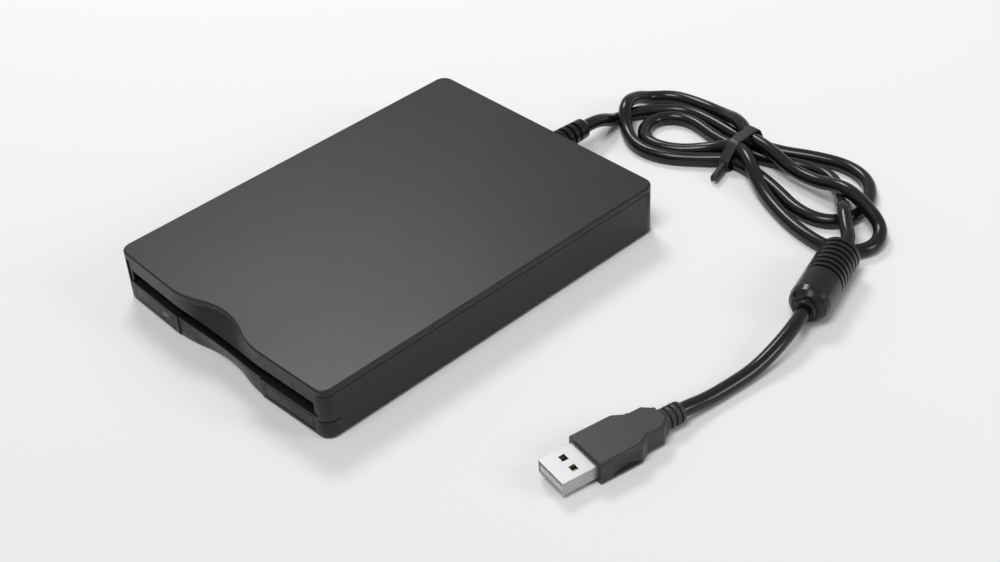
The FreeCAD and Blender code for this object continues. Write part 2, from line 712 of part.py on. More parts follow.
def mechanism_chassis():
    """The sheet base: floor with windows, side rails with guide slots, collars, posts and spring hooks."""
    floor = box(-mech_half, mech_half, mech_y, mech_rear, mech_base, chassis_top)
    rails = both_sides(box(rail_x, mech_half, mech_y, mech_rear, mech_base, rail_top))
    lip = box(-mech_half, -8, mech_rear - rail_thick, mech_rear, mech_base, chassis_top + 4)
    lip_right = box(cable_x + cable_width / 2 + 2, mech_half, mech_rear - rail_thick, mech_rear, mech_base,
                    chassis_top + 4)
    hook = box(spring_x - 0.8, spring_x + 0.8, spring_front_y - chassis_sheet, spring_front_y,
               mech_base + 0.1, slider_low + 2.6)
    posts = [rod(lever_x, lever_y, mech_base + 0.1, 2.6, 2.4)]
    posts += [rod(x, y, mech_base + 0.1, 1.8, control_board_low() - mech_base - 0.1)
              for x, y in control_posts()]
    collars = [rod(x, y, mech_base + 0.1, 2.6, chassis_sheet + 1.2) for x, y in mech_screws]
    chassis = join(floor, *rails, lip, lip_right, *both_sides(hook), *posts, *collars)

    cuts = [rod(x, y, 0, screw_radius, far) for x, y in mech_screws]
    cuts.append(rod(0, spindle_y, 0, spindle_radius + bearing_wall, far))
    cuts.append(box(-10, rod_x + 4, head_y - track_travel - 5.7, arm_axis_y + 2, 0, far))
    cuts += both_sides(box(mech_half - 23.0, mech_half - 12.0, spindle_y - 4, spindle_y + 12, 0, far))
    cuts.append(rod(lever_x, lever_y, mech_base + 0.9, lever_pin_radius, far))
    for y in guide_pin_ys:
        high = V(rail_x - 0.1, y, guide_pin_z + load_drop / button_stroke * button_press + 0.1)
        slot = stadium(high, V(rail_x - 0.1, y, guide_pin_z - load_drop - 0.1), guide_pin_radius + shaft_gap)
        cuts += both_sides(slot)
    return carve(chassis, *cuts)


def shield_cover():
    """The thin metal cover over the mechanism, with side flanges outside the rails."""
    y0 = mech_y + 1.5
    top = box(-mech_half - shield_sheet, mech_half + shield_sheet, y0, mech_rear, rail_top, mech_top)
    flange = box(mech_half, mech_half + shield_sheet, y0, mech_rear, mech_top - 4, mech_top)
    window_half = arm_half_width + 6.5
    windows = [box(-window_half, window_half, head_y - 9.5, head_y + 12.5, 0, far),
               rod(0, spindle_y, 0, hub_radius + 1.0, far)]
    beads = both_sides(box(mech_half - 26.0, mech_half - 8.0, spindle_y - 8, spindle_y + 22, 0, far))
    return carve(join(top, *both_sides(flange)), *windows, *beads)


def motor_board():
    """The printed board that carries the spindle motor's coils."""
    w, d = motor_board_size
    y0 = spindle_y - d / 2 - 4.5
    board = box(-w / 2, w / 2, y0, y0 + d, chassis_top, chassis_top + 0.5)
    board = rounded(board, 3.0, upright)
    return board.cut(rod(0, spindle_y, 0, spindle_radius + bearing_wall + 1.2, far))


def ring_of(count, make):
    """Copies of a shape, evenly spaced round the spindle."""
    copies = []
    for i in range(count):
        shape = make()
        shape.rotate(V(0, spindle_y, 0), Z, 360.0 / count * i)
        copies.append(shape)
    return Part.makeCompound(copies)


def motor_coils():
    """The flat coils of the spindle motor."""
    return ring_of(coil_count, lambda: tube(coil_ring, spindle_y, chassis_top + 0.5, coil_radius, 0.8, 0.8))


def spindle_bearing():
    """The flanged sleeve that the spindle turns in."""
    outer = spindle_radius + bearing_wall
    sleeve = rod(0, spindle_y, mech_base, outer, 2.5)
    flange = rod(0, spindle_y, chassis_top, outer + 1.0, 0.4)
    return join(sleeve, flange).cut(rod(0, spindle_y, 0, spindle_radius + shaft_gap, far))


def rotor_top():
    """Height of the rotor's upper face."""
    return chassis_top + 2.5


def spindle_shaft():
    """The spindle, with the thicker pin that centres the disk's hub."""
    shaft = rod(0, spindle_y, mech_base + 0.1, spindle_radius, rotor_top() - mech_base)
    pin = turned([(0, 0), (hub_pin_radius, 0), (hub_pin_radius, 1.5), (1.3, 2.0), (0, 2.0)],
                 V(0, spindle_y, rotor_top()), Z)
    return join(shaft, pin)


def spindle_rotor():
    """The cup-shaped rotor."""
    skirt = chassis_top + 0.5 + run_gap
    cup = tube(0, spindle_y, skirt, rotor_radius, spindle_radius, rotor_top() - skirt)
    hollow = rod(0, spindle_y, skirt, rotor_radius - rotor_sheet - 0.3, rotor_top() - rotor_sheet - skirt)
    return cup.cut(hollow)


def rotor_magnet():
    """The magnet ring inside the rotor."""
    outer = rotor_radius - rotor_sheet - 0.3
    low = chassis_top + 0.8
    return tube(0, spindle_y, low, outer, outer - magnet_width, rotor_top() - rotor_sheet - low)


def hub_table():
    """The seat for the disk's hub."""
    table = tube(0, spindle_y, rotor_top(), hub_radius, hub_pin_radius, 0.7)
    groove_ring = tube(0, spindle_y, rotor_top() + 0.45, 7.5, 5.0, 1)
    return table.cut(groove_ring)


def drive_pin():
    """The pin that turns the disk's hub."""
    return rod(drive_pin_ring, spindle_y, rotor_top() + 0.7, drive_pin_radius, 0.9)


def screw_bracket():
    """The U-shaped bracket under the lead screw, with an ear at each end."""
    low, high = chassis_top, chassis_top + 0.6
    y0, y1 = leading_edge + 0.6, stepper_front()
    base = box(screw_x - 4, screw_x + 4, y0, y1, low, high)
    ears = [box(screw_x - 4, screw_x + 4, y0, y0 + 0.8, low, screw_z + 1.9),
            box(screw_x - 4, screw_x + 4, y1 - 0.6, y1, low, screw_z + 3.4)]
    return carve(join(base, *ears), rod(screw_x, y0 - 1, screw_z, 0.7 + shaft_gap, 3, Y),
                 rod(screw_x, y1 - 2, screw_z, lead_radius + 0.3, 4, Y))


def stepper_front():
    """Front face of the stepper motor."""
    return nut_y + 2.6


def stepper_motor():
    """The motor that turns the lead screw."""
    can = rod(screw_x, stepper_front(), screw_z, stepper_radius, stepper_length, Y)
    terminals = box(screw_x - 2.5, screw_x + 2.5, stepper_front() + 2, stepper_front() + 7, screw_z,
                    screw_z + stepper_radius + 0.7)
    bore = rod(screw_x, stepper_front() - 1, screw_z, lead_radius + shaft_gap, 6, Y)
    return join(can, terminals).cut(bore)


def lead_screw():
    """The screw that drives the head carriage, with a thin front pivot."""
    front = leading_edge + 0.6 + 0.8 + 0.1
    screw_body = rod(screw_x, front, screw_z, lead_radius, stepper_front() + 4.5 - front, Y)
    return join(screw_body, rod(screw_x, front - 0.8, screw_z, 0.7, 1, Y))


def guide_rod():
    """The rod that the head carriage slides on."""
    return rod(rod_x, rod_start(), rod_z, rod_radius, rod_end() - rod_start(), Y)


def rod_start():
    """Front end of the guide rod."""
    return head_y - track_travel - 8.7


def rod_end():
    """Rear end of the guide rod."""
    return arm_axis_y + 6.5


def rod_clamps():
    """The two blocks that hold the guide rod's ends."""
    blocks = []
    for y in (rod_start() - 0.5, rod_end() - 2.5):
        block = box(rod_x - 2.2, rod_x + 2.2, y, y + 3, chassis_top, rod_z + rod_radius + 0.4)
        block = rounded(block, 0.5, upright)
        blocks.append(block.cut(rod(rod_x, rod_start(), rod_z, rod_radius, rod_end() - rod_start(), Y)))
    return Part.makeCompound(blocks)


def head_carriage():
    """The sledge: an arm under the disk, a bearing on the rod, a fork on the lead screw and a tower."""
    arm = box(-7, 7, head_y - 4, arm_axis_y - 2, carriage_low, carriage_top)
    bridge = box(0, rod_x + 3, arm_axis_y - 17, arm_axis_y - 1, carriage_low, carriage_top)
    bearing = box(rod_x - 3, rod_x + 3, arm_axis_y - 17, arm_axis_y - 1, chassis_top - 0.2, carriage_top + 0.1)
    tower = box(-tower_half_width, tower_half_width, arm_axis_y - 3, arm_axis_y + 2, carriage_low,
                arm_axis_z - 1.2 - run_gap)
    ear = box(tower_half_width - ear_thick, tower_half_width, arm_axis_y - 1.8, arm_axis_y + 1.8,
              arm_axis_z - 2.0, arm_axis_z + 1.3)
    fork = box(screw_x, 0, nut_y - nut_half, nut_y + nut_half, screw_z - 0.8, screw_z + 2.0)
    nut = rod(screw_x, nut_y - nut_half, screw_z, 2.2, 2 * nut_half, Y)
    vane = box(3.6, 4.4, arm_axis_y + 1, arm_axis_y + 7, screw_z - 0.5, screw_z + 2)
    body = join(arm, bridge, bearing, tower, fork, nut, vane, *both_sides(ear))
    return carve(body, rod(rod_x, 0, rod_z, rod_radius + shaft_gap, far, Y),
                 rod(screw_x, nut_y - 5, screw_z, lead_radius + shaft_gap, 10, Y),
                 rod(-far / 2, arm_axis_y, arm_axis_z, arm_pin_radius, far, X),
                 box(-3.5, 3.5, head_y + 5, arm_axis_y - 8, 0, far))


def head(x, y, z, up):
    """A head slider on its round gimbal. It faces up or down from z."""
    half = head_depth / 2
    pad = box(x - head_pad, x + head_pad, y - half, y + half, *((z - 0.9, z) if up else (z, z + 0.6)))
    rails = [box(x + s - 0.5, x + s + 0.5, y - 3, y + 3, *((z - 0.2, z + 1) if up else (z - 1, z + 0.2)))
             for s in (-1.2, 1.2)]
    return carve(pad, *rails)


def lower_head():
    """The lower head on its gimbal."""
    gimbal = rod(0, head_y, carriage_top, 2.5, lower_head_top - 0.9 - carriage_top)
    return join(head(0, head_y, lower_head_top, True), gimbal)


def upper_head():
    """The upper head under the tip of its arm."""
    return head(0, head_y, upper_head_low, False)


def head_arm():
    """The upper arm: a tapered plate with stiffening ribs, a hinge barrel and a lifting tab."""
    low, high = upper_head_low + 0.6, upper_head_low + 0.6 + arm_thick
    tip, w = arm_half_width * 0.65, arm_half_width
    y0, y1 = head_y - 2.5, arm_axis_y
    outline = [V(-tip, y0, low), V(tip, y0, low), V(w, y0 + 8, low), V(w, y1, low), V(-w, y1, low),
               V(-w, y0 + 8, low)]
    plate = Part.Face(Part.makePolygon(outline + outline[:1])).extrude(V(0, 0, high - low))
    plate = plate.cut(box(-2.5, 2.5, y0 + 8, y1 - 6, 0, far))
    barrel = rod(-w - 0.6, y1, arm_axis_z, 1.2, 2 * w + 1.2, X)
    ribs = both_sides(box(w - 0.8, w, y0 + 8, y1, low, high + 0.5))
    tab_y = y1 - lifter_reach()
    tab = box(w - 0.5, w + 6, tab_y - 0.7, tab_y + 0.7, low + 0.2, high)
    return carve(join(plate, barrel, tab, *ribs),
                 rod(-far / 2, y1, arm_axis_z, arm_pin_radius + shaft_gap, far, X))


def lifter_reach():
    """How far in front of the arm's pin its tab drops as much as the disk holder does."""
    return load_drop / math.tan(math.radians(arm_drop)) - 0.7


def arm_pin():
    """The hinge pin of the upper arm."""
    return rod(-tower_half_width, arm_axis_y, arm_axis_z, arm_pin_radius, 2 * tower_half_width, X)


def arm_spring():
    """The leaf that presses the upper head on the disk, clipped behind the arm's barrel."""
    y1, high = arm_axis_y, upper_head_low + 0.6 + arm_thick
    return box(-1.6, 1.6, y1 - 6.5, y1 - 1.0, high, high + 0.3)


def lever_pin():
    """The post that the eject lever turns on, with a head that keeps the lever down."""
    low = mech_base + 0.9
    post = rod(lever_x, lever_y, low, lever_pin_radius, lever_low + lever_thick + 0.2 - low)
    return join(post, rod(lever_x, lever_y, lever_low + lever_thick + 0.1, 2.4, 0.4))


def eject_lever():
    """The lever that pushes the disk out, with a long barrel on its post and a tip that reaches down."""
    high = lever_low + lever_thick
    barrel = rod(lever_x, lever_y, high - 7.0, 3.0, 7.0)
    arm = box(lever_x, lever_x + lever_length, lever_y - 2, lever_y + 2, lever_low, high)
    tip = rod(lever_x + lever_length, lever_y, disk_low + 0.1, lever_tip_radius, high - disk_low - 0.1)
    pad = rod(lever_x + lever_length, lever_y, lever_low, 2.2, lever_thick)
    lever = join(barrel, arm, pad, tip)
    lever.rotate(V(lever_x, lever_y, 0), Z, lever_rest)
    return lever.cut(rod(lever_x, lever_y, 0, lever_pin_radius + shaft_gap, far))


def lever_spring():
    """The torsion spring round the eject lever's post, under the barrel."""
    low = chassis_top + 2.0
    return tube(lever_x, lever_y, low, 2.6, 1.9, lever_low + lever_thick - 7.0 - run_gap - low)


def track_sensor():
    """The light gate that the carriage's vane enters at the outermost track."""
    y = arm_axis_y + 3.4
    block = box(0.8, 7.2, y, y + 6, chassis_top, screw_z + 2.6)
    return block.cut(box(3.2, 4.8, y - 1, y + 7, chassis_top + 1.6, far))


def disk_switches():
    """Three small switches that sense the disk and its notches."""
    switches = []
    side, front = holder_x - 11.8, crest_y + 25.0
    for x, y in ((-side, front), (side - 1.5, front), (-side, leading_edge - 18.0)):
        switches.append(join(box(x - 1.8, x + 1.8, y - 3, y + 3, chassis_top, chassis_top + 2.0),
                             rod(x, y, chassis_top + 1.9, 0.6, 0.7)))
    return Part.makeCompound(switches)


def control_board_low():
    """Underside of the control board."""
    return chassis_top + 0.5


def control_board_sides():
    """Left and right edges of the control board."""
    return rod_x + 5.5, lever_x - 4.0


def control_posts():
    """Centres of the posts under the control board."""
    left, right = control_board_sides()
    return ((left + 3, leading_edge + 8), (right - 3, mech_rear - 5), (left + 3, mech_rear - 5))


def control_board():
    """The mechanism's control board."""
    left, right = control_board_sides()
    low = control_board_low()
    return box(left, right, leading_edge + 4.6, mech_rear - 1.6, low, low + board_thick)


def control_chips():
    """The parts soldered on the control board: the controller, a driver and the cable socket."""
    left, right = control_board_sides()
    low = control_board_low() + board_thick
    chips = [box(left + 2.5, left + 12.5, leading_edge + 8, leading_edge + 18, low, low + 1.5),
             box(right - 4.5, right - 1, leading_edge + 9, leading_edge + 15, low, low + 1.4),
             box(cable_x - cable_width / 2 - 1.5, cable_x + cable_width / 2 + 1.5, mech_rear - 6.5,
                 mech_rear - 2.5, low, low + 2.0)]
    return Part.makeCompound(chips)


def usb_board():
    """The interface board across the rear of the housing."""
    x0, x1 = usb_board_x
    low = usb_board_low
    return box(x0, x1, usb_board_y, usb_board_y + usb_board_depth, low, low + board_thick)


def usb_board_parts():
    """The parts soldered on the interface board: bridge chip, crystal, cable socket and cord header."""
    low = usb_board_low + board_thick
    y0, y1 = usb_board_y, usb_board_y + usb_board_depth
    parts = [box(9, 16, y0 + 0.2, y1 - 0.2, low, low + 1.4),
             box(-22, -12, y0 + 2, y0 + 5, low, low + 3.0),
             box(cable_x - cable_width / 2 - 1.5, cable_x + cable_width / 2 + 1.5, y0 + 1.5, y0 + 5,
                 low, low + 2.0),
             box(-5.5, 5.5, y0 + 0.4, y0 + 3.4, low, cord_rise + 1.6)]
    return Part.makeCompound(parts)


def flat_cable():
    """The flat cable between the two boards, in one low arch."""
    y0, y1 = mech_rear - 2.5, usb_board_y + 1.5
    z0, rise, thick = control_board_low() + board_thick + 1.0, 1.6, 0.25
    middle = (y0 + y1) / 2
    edges = [
        Part.Arc(V(0, y0, z0), V(0, middle, z0 + rise), V(0, y1, z0)),
        Part.LineSegment(V(0, y1, z0), V(0, y1, z0 - thick)),
        Part.Arc(V(0, y1, z0 - thick), V(0, middle, z0 + rise - thick), V(0, y0, z0 - thick)),
        Part.LineSegment(V(0, y0, z0 - thick), V(0, y0, z0)),
    ]
    band = Part.Face(Part.Wire([e.toShape() for e in edges])).extrude(V(cable_width, 0, 0))
    band.translate(V(cable_x - cable_width / 2, 0, 0))
    return band


def inner_wires():
    """The cord's inner end: a short length of jacket and the four wires to the header."""
    front = usb_board_y + 3.4
    jacket_start = inner_rear_y - 1.2
    jacket = rod(0, jacket_start - 1.4, cord_rise, cord_radius, 1.4, Y)
    wires = [rod(x, front, cord_rise + z, 0.45, jacket_start - 1.2 - front, Y)
             for x, z in ((-1.2, 0), (0, 1.1), (1.2, 0), (0, -1.1))]
    return join(jacket, *wires)


def cable_boot():
    """The ribbed strain relief: an inner flange, a neck in the rear wall and a tapered outer part."""
    neck = boot_neck_radius()
    wall = side_wall
    profile = [(0, -1.1 - wall), (neck + 1.1, -1.1 - wall), (neck + 1.1, -0.1 - wall), (neck, -0.1 - wall),
               (neck, 0.05), (boot_radius, 0.05), (boot_radius, 2.0)]
    pitch = (boot_length - 5.0) / boot_rings
    for i in range(boot_rings):
        t = 2.0 + pitch * i
        share = (i + 0.5) / boot_rings
        outer = boot_radius + (boot_tip_radius - boot_radius) * share
        core = outer - 0.8
        profile += [(core, t + 0.3), (core, t + 1.1), (outer, t + 1.4), (outer, t + pitch)]
    profile += [(boot_tip_radius, boot_length - 1.2), (cord_radius + 0.5, boot_length), (0, boot_length)]
    return turned(profile, V(0, rear_y, cord_rise), Y)


def bearing_of(degrees):
    """The unit vector in the horizontal plane at an angle from +X."""
    return V(math.cos(math.radians(degrees)), math.sin(math.radians(degrees)), 0)


def cord_path(points):
    """A wire of straight runs with a tangent arc at each point of the route, and its radii."""
    edges, radii, last = [], [], points[0]
    for before, corner, after in zip(points, points[1:], points[2:]):
        into, out = corner - before, after - corner
        half_turn = into.getAngle(out) / 2
        cut_back = 0.45 * min(into.Length, out.Length)
        radius = cut_back / math.tan(half_turn)
        start = corner - V(into).normalize() * cut_back
        end = corner + V(out).normalize() * cut_back
        inward = (V(out).normalize() - V(into).normalize()).normalize()
        middle = corner + inward * (radius / math.cos(half_turn) - radius)
        edges += [Part.LineSegment(last, start), Part.Arc(start, middle, end)]
        radii.append(radius)
        last = end
    edges.append(Part.LineSegment(last, points[-1]))
    return Part.Wire([e.toShape() for e in edges]), radii


def cord_tube(name, points):
    """A round cord along a route. Its radii and its volume are printed."""
    path, radii = cord_path(points)
    along = (points[1] - points[0]).normalize()
    circle = Part.Wire([Part.Circle(points[0], along, cord_radius).toShape()])
    solid = path.makePipeShell([circle], True, False)
    share = solid.Volume / (math.pi * cord_radius ** 2 * path.Length)
    print(f"{name}: length {path.Length:.1f}, radii {[round(r, 1) for r in radii]}, volume share {share:.4f}")
    return solid


def ferrite_axis(distance):
    """A point on the ferrite core's axis, at a distance towards the plug from its far end."""
    along = bearing_of(ferrite_heading)
    return ferrite_near + V(0, 0, ferrite_radius) + along * (distance - ferrite_length)


def cord_lead():
    """The cord from the boot to the hank."""
    exit_y = rear_y + boot_length
    return cord_tube("cord_lead", [
        V(0, exit_y, cord_rise),
        V(0, exit_y + 6.5, cord_rise),
        V(0.6, exit_y + 14.0, 7.4),
        V(2.6, exit_y + 20.9, 4.8),
    ])


def cord_tail():
    """The cord from the hank through the ferrite core to the plug."""
    return cord_tube("cord_tail", [
        ferrite_axis(-5.5),
        ferrite_axis(ferrite_length + 10.0),
        V(123.9, 34.0, cord_radius + 0.1),
        V(122.3, 19.5, cord_radius + 0.3),
        V(plug_neck.x, plug_neck.y, plug_height / 2),
    ])


def hank_outline():
    """The outline, from above, of the cord's tied hank, with its waist at the tie."""
    return [(1, 111), (-3, 124), (1, 135), (12, 139), (28, 138.5), (46.5, 136), (60, 141), (75, 145.5),
            (90, 142.5), (101, 131), (113, 118), (117, 106), (108, 101.6), (98, 98.5), (88, 100), (75, 106.5),
            (62, 113), (46.5, 113.5), (34, 104.5), (16, 103.5)]


def hank_prism(z0, z1):
    """A slice of the hank."""
    curve = Part.BSplineCurve()
    curve.interpolate(Points=[V(x, y, z0) for x, y in hank_outline()], PeriodicFlag=True)
    return Part.Face(Part.Wire([curve.toShape()])).extrude(V(0, 0, z1 - z0))


def cord_hank():
    """The outer shape of the tied hank, with a groove under it for the tie."""
    x0, x1 = tie_x
    return hank_prism(0, hank_height).cut(box(x0 - 0.2, x1 + 0.2, -far, far, -1, tie_thick))


def cord_tie():
    """The twist tie round the waist of the hank, with its twisted end beside it."""
    x0, x1 = tie_x
    middle = (x0 + x1) / 2
    band = box(x0, x1, 111, 139, 0, hank_height + tie_thick)
    twist = rod(middle, 106.5, 2.2, 1.6, 6, Y)
    inner = hank_prism(tie_thick, hank_height).common(box(-far, far, 100, 160, -1, far))
    return join(band, twist).cut(inner)


def ferrite_core():
    """The moulded ferrite core: a ringed barrel with a round end and a small collar."""
    r, length = ferrite_radius, ferrite_length
    profile = [(cord_radius, 0), (r - 1.2, 0), (r, 1.2)]
    for i in range(ferrite_rings):
        t = 2.6 + 2.4 * i
        profile += [(r, t), (r - 0.7, t + 0.25), (r - 0.7, t + 0.95), (r, t + 1.2)]
    profile += [(r, length - 5.5), (r - 0.5, length - 3.6), (r - 1.8, length - 2.2), (cord_radius + 1.4, length - 2.0),
                (cord_radius + 1.2, length), (cord_radius, length)]
    return turned(profile, ferrite_axis(0), bearing_of(ferrite_heading))


def along_plug(shape):
    """Places a shape that was made with the plug's neck end at the origin and its mouth towards -Y."""
    shape.rotate(V(0, 0, 0), Z, plug_heading + 90)
    shape.translate(V(plug_neck.x, plug_neck.y, plug_height / 2))
    return shape


def plug_length():
    """Length of the plug's moulded body."""
    return plug_neck_length + plug_waist + plug_block + sum(plug_tapers)


def plug_slab(half_widths, starts, half_height):
    """A flat body that is symmetrical across X = 0: its half widths at places along the plug."""
    right = [V(w, y, -half_height) for w, y in zip(half_widths, starts)]
    points = right + [V(-p.x, p.y, p.z) for p in reversed(right)]
    return Part.Face(Part.makePolygon(points + points[:1])).extrude(V(0, 0, 2 * half_height))


def plug_body():
    """The moulded grip: a ringed neck, a narrower waist and a wide block with a hollow on each side."""
    front, h, w = -plug_length(), plug_height / 2, plug_width / 2
    shoulder = front + plug_block
    waist_front, waist_rear = shoulder + plug_tapers[0], -plug_neck_length - plug_tapers[1]
    narrow = w - plug_waist_side
    block = plug_slab([w, w, narrow, narrow], [front, shoulder, waist_front, waist_front + 1], h)
    waist = plug_slab([narrow, narrow, neck_radius(), neck_radius()],
                      [waist_front, waist_rear, -plug_neck_length, -plug_neck_length + 0.3], h - 0.4)

    def lengthwise(edge):
        along = edge.tangentAt(edge.FirstParameter)
        return abs(along.z) < 0.001 and abs(along.y) > 0.3

    block, waist = rounded(block, 1.1, lengthwise), rounded(waist, 1.1, lengthwise)
    grip = rod(w + plug_grip_radius - plug_grip_depth, shoulder - 5.2, 1.3 - h, plug_grip_radius,
               plug_height - 3.0)
    profile = [(0, 0), (cord_radius + 0.4, 0), (cord_radius + 0.9, 0.6)]
    for t in (1.5, 3.5, 5.5):
        profile += [(neck_radius() - 0.2, t), (2.7, t), (2.7, t + 0.8), (neck_radius() - 0.1, t + 0.8)]
    profile += [(neck_radius(), plug_neck_length + 1), (0, plug_neck_length + 1)]
    neck = turned(profile, V(0, 0, 0), -Y)
    pocket = box(-shell_width / 2, shell_width / 2, front - 1, front + shell_in, -shell_height / 2,
                 shell_height / 2)
    return along_plug(carve(join(block, waist, neck), pocket, *both_sides(grip)))


def neck_radius():
    """Radius of the plug's neck."""
    return cord_radius + 1.2


def plug_shell():
    """The folded metal shell, with its two square windows above and below."""
    front = -plug_length()
    x, z = shell_width / 2, shell_height / 2
    tube_box = box(-x, x, front - shell_out, front + shell_in, -z, z)
    inside = box(-x + shell_sheet, x - shell_sheet, front - shell_out - 1, front + shell_in + 1,
                 -z + shell_sheet, z - shell_sheet)
    window_y = front - shell_out + 5.2
    windows = both_sides(box(1.3, 3.7, window_y, window_y + 2.1, -z - 1, z + 1))
    return along_plug(carve(tube_box, inside, *windows))


def tongue_top():
    """Upper face of the plug's tongue, measured from the plug's axis."""
    return 0.15


def plug_tongue():
    """The plastic tongue inside the shell, on its base."""
    front = -plug_length()
    x, z = shell_width / 2 - shell_sheet, shell_height / 2 - shell_sheet
    tongue = box(-x, x, front - shell_out + 0.4, front, -z, tongue_top())
    base = box(-x, x, front - 0.5, front + shell_in - 0.5, -z, z)
    return along_plug(join(tongue, base))


def plug_contacts():
    """The four contact strips on the tongue."""
    front = -plug_length()
    low = tongue_top()
    strips = []
    for x in (-3.5, -1.0, 1.0, 3.5):
        start = front - shell_out + (1.2 if abs(x) > 2 else 2.2)
        strips.append(box(x - 0.5, x + 0.5, start, front - 0.6, low, low + 0.15))
    return along_plug(Part.makeCompound(strips))


def rubber_feet():
    """The four feet."""
    height = case_low + foot_recess
    profile = [(0, 0), (foot_radius - 0.5, 0), (foot_radius, 0.4), (foot_radius, height), (0, height)]
    return Part.makeCompound([turned(profile, V(x, y, 0), Z) for x, y in foot_places()])


def case_screws():
    """The two screws that hold the cover from below."""
    head_z = case_low + 3.0 - screw_head
    length = case_boss_top + run_gap + 4.0 - head_z
    return Part.makeCompound([screw(s * case_screw_x, case_screw_y, head_z, length) for s in (-1, 1)])


def mechanism_screws():
    """The four screws that hold the mechanism from below."""
    head_z = case_low + 1.1 - screw_head
    return Part.makeCompound([screw(x, y, head_z, mech_base + 2.0 - head_z) for x, y in mech_screws])


SUBPARTS = [
    top_cover, bottom_case, front_bezel, dust_door, door_spring, eject_button, led_lens, activity_led,
    rubber_feet, case_screws, mechanism_screws, mechanism_chassis, shield_cover, disk_holder, holder_pins,
    slider_plate, slider_springs, eject_lever, lever_pin, lever_spring, motor_board, motor_coils,
    spindle_bearing, spindle_shaft, spindle_rotor, rotor_magnet, hub_table, drive_pin, stepper_motor,
    screw_bracket, lead_screw, guide_rod, rod_clamps, head_carriage, lower_head, upper_head, head_arm, arm_pin,
    arm_spring, track_sensor, disk_switches, control_board, control_chips, usb_board, usb_board_parts,
    flat_cable, inner_wires, cable_boot, cord_lead, cord_hank, cord_tie, cord_tail, ferrite_core, plug_body,
    plug_shell, plug_tongue, plug_contacts,
]


def main():
    """Writes one STEP file for each sub-part."""
    os.makedirs("parts", exist_ok=True)
    for make in SUBPARTS:
        shape = make()
        if not shape.isValid() or not shape.Solids:
            print("not a valid solid:", make.__name__)
        shape.exportStep(f"parts/{make.__name__}.step")


main()
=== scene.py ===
"""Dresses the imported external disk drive: its cord, finishes, springs and thread, on a plain pale floor.

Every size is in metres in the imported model's own frame: X across the front, -Y towards the front, +Z up.
Each sub-assembly is a class that makes its pieces and finishes them; main() builds them in order.
"""

import json  # noqa: E402
import logging  # noqa: E402
import math  # noqa: E402
from dataclasses import dataclass, field  # noqa: E402
from enum import Enum  # noqa: E402

import bpy  # noqa: E402
import numpy as np  # noqa: E402
from mathutils import Matrix, Vector  # noqa: E402


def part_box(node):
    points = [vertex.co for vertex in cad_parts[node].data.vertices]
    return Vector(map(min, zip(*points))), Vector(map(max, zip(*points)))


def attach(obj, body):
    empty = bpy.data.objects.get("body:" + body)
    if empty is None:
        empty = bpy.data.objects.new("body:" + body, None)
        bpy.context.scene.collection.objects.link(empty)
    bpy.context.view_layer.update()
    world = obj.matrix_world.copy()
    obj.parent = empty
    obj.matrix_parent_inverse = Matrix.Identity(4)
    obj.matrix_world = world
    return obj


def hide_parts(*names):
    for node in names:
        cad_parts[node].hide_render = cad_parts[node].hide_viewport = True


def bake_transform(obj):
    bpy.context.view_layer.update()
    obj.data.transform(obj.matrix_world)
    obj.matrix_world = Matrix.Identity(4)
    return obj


Place = tuple[float, float, float]
Tube = tuple[np.ndarray, np.ndarray]

log = logging.getLogger("drive")
MM = 0.001
# Edges that turn by more than this are rounded.
SHARP_ANGLE = math.radians(35)
# A tube starts steeply where Z has more than this share of its first direction.
STEEP = 0.9

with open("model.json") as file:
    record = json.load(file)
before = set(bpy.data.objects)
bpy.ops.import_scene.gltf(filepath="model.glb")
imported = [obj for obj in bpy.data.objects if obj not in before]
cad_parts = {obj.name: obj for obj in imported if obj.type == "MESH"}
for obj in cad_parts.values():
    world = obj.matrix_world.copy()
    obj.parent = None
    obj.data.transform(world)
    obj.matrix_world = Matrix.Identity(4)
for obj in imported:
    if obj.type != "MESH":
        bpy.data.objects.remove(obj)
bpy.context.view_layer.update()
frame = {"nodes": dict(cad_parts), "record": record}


# ---------------------------------------------------------------------------------------------- meshes


def mesh_object(
        name: str, verts: np.ndarray, faces: list[list[int]], smooth: bool = True) -> bpy.types.Object:
    """Makes a mesh object from points and faces of any number of corners.

    Args:
        name: the piece's name.
        verts: (n, 3) points in metres.
        faces: corner indices of each face, counter-clockwise from outside.
        smooth: whether faces are shaded smooth.

    Returns:
        The linked object, standing at the origin.
    """
    mesh = bpy.data.meshes.new(name)
    mesh.from_pydata(verts.tolist(), [], faces)
    mesh.polygons.foreach_set("use_smooth", np.full(len(mesh.polygons), smooth))
    mesh.update()
    made = bpy.data.objects.new(name, mesh)
    bpy.context.scene.collection.objects.link(made)
    return made


def grid_faces(rows: int, columns: int, close_rows: bool, close_columns: bool) -> np.ndarray:
    """Quads of a grid of rows by columns points, numbered row by row, optionally closed either way.

    Args:
        rows: number of points along the first parameter.
        columns: number of points along the second parameter.
        close_rows: joins the last row to the first.
        close_columns: joins the last column to the first.

    Returns:
        (n, 4) corner indices.
    """
    i = np.arange(rows if close_rows else rows - 1)
    j = np.arange(columns if close_columns else columns - 1)
    i, j = np.meshgrid(i, j, indexing="ij")
    here, below = i * columns, (i + 1) % rows * columns
    beside = (j + 1) % columns
    quads = np.stack([here + j, here + beside, below + beside, below + j], -1)
    return quads.reshape(-1, 4)


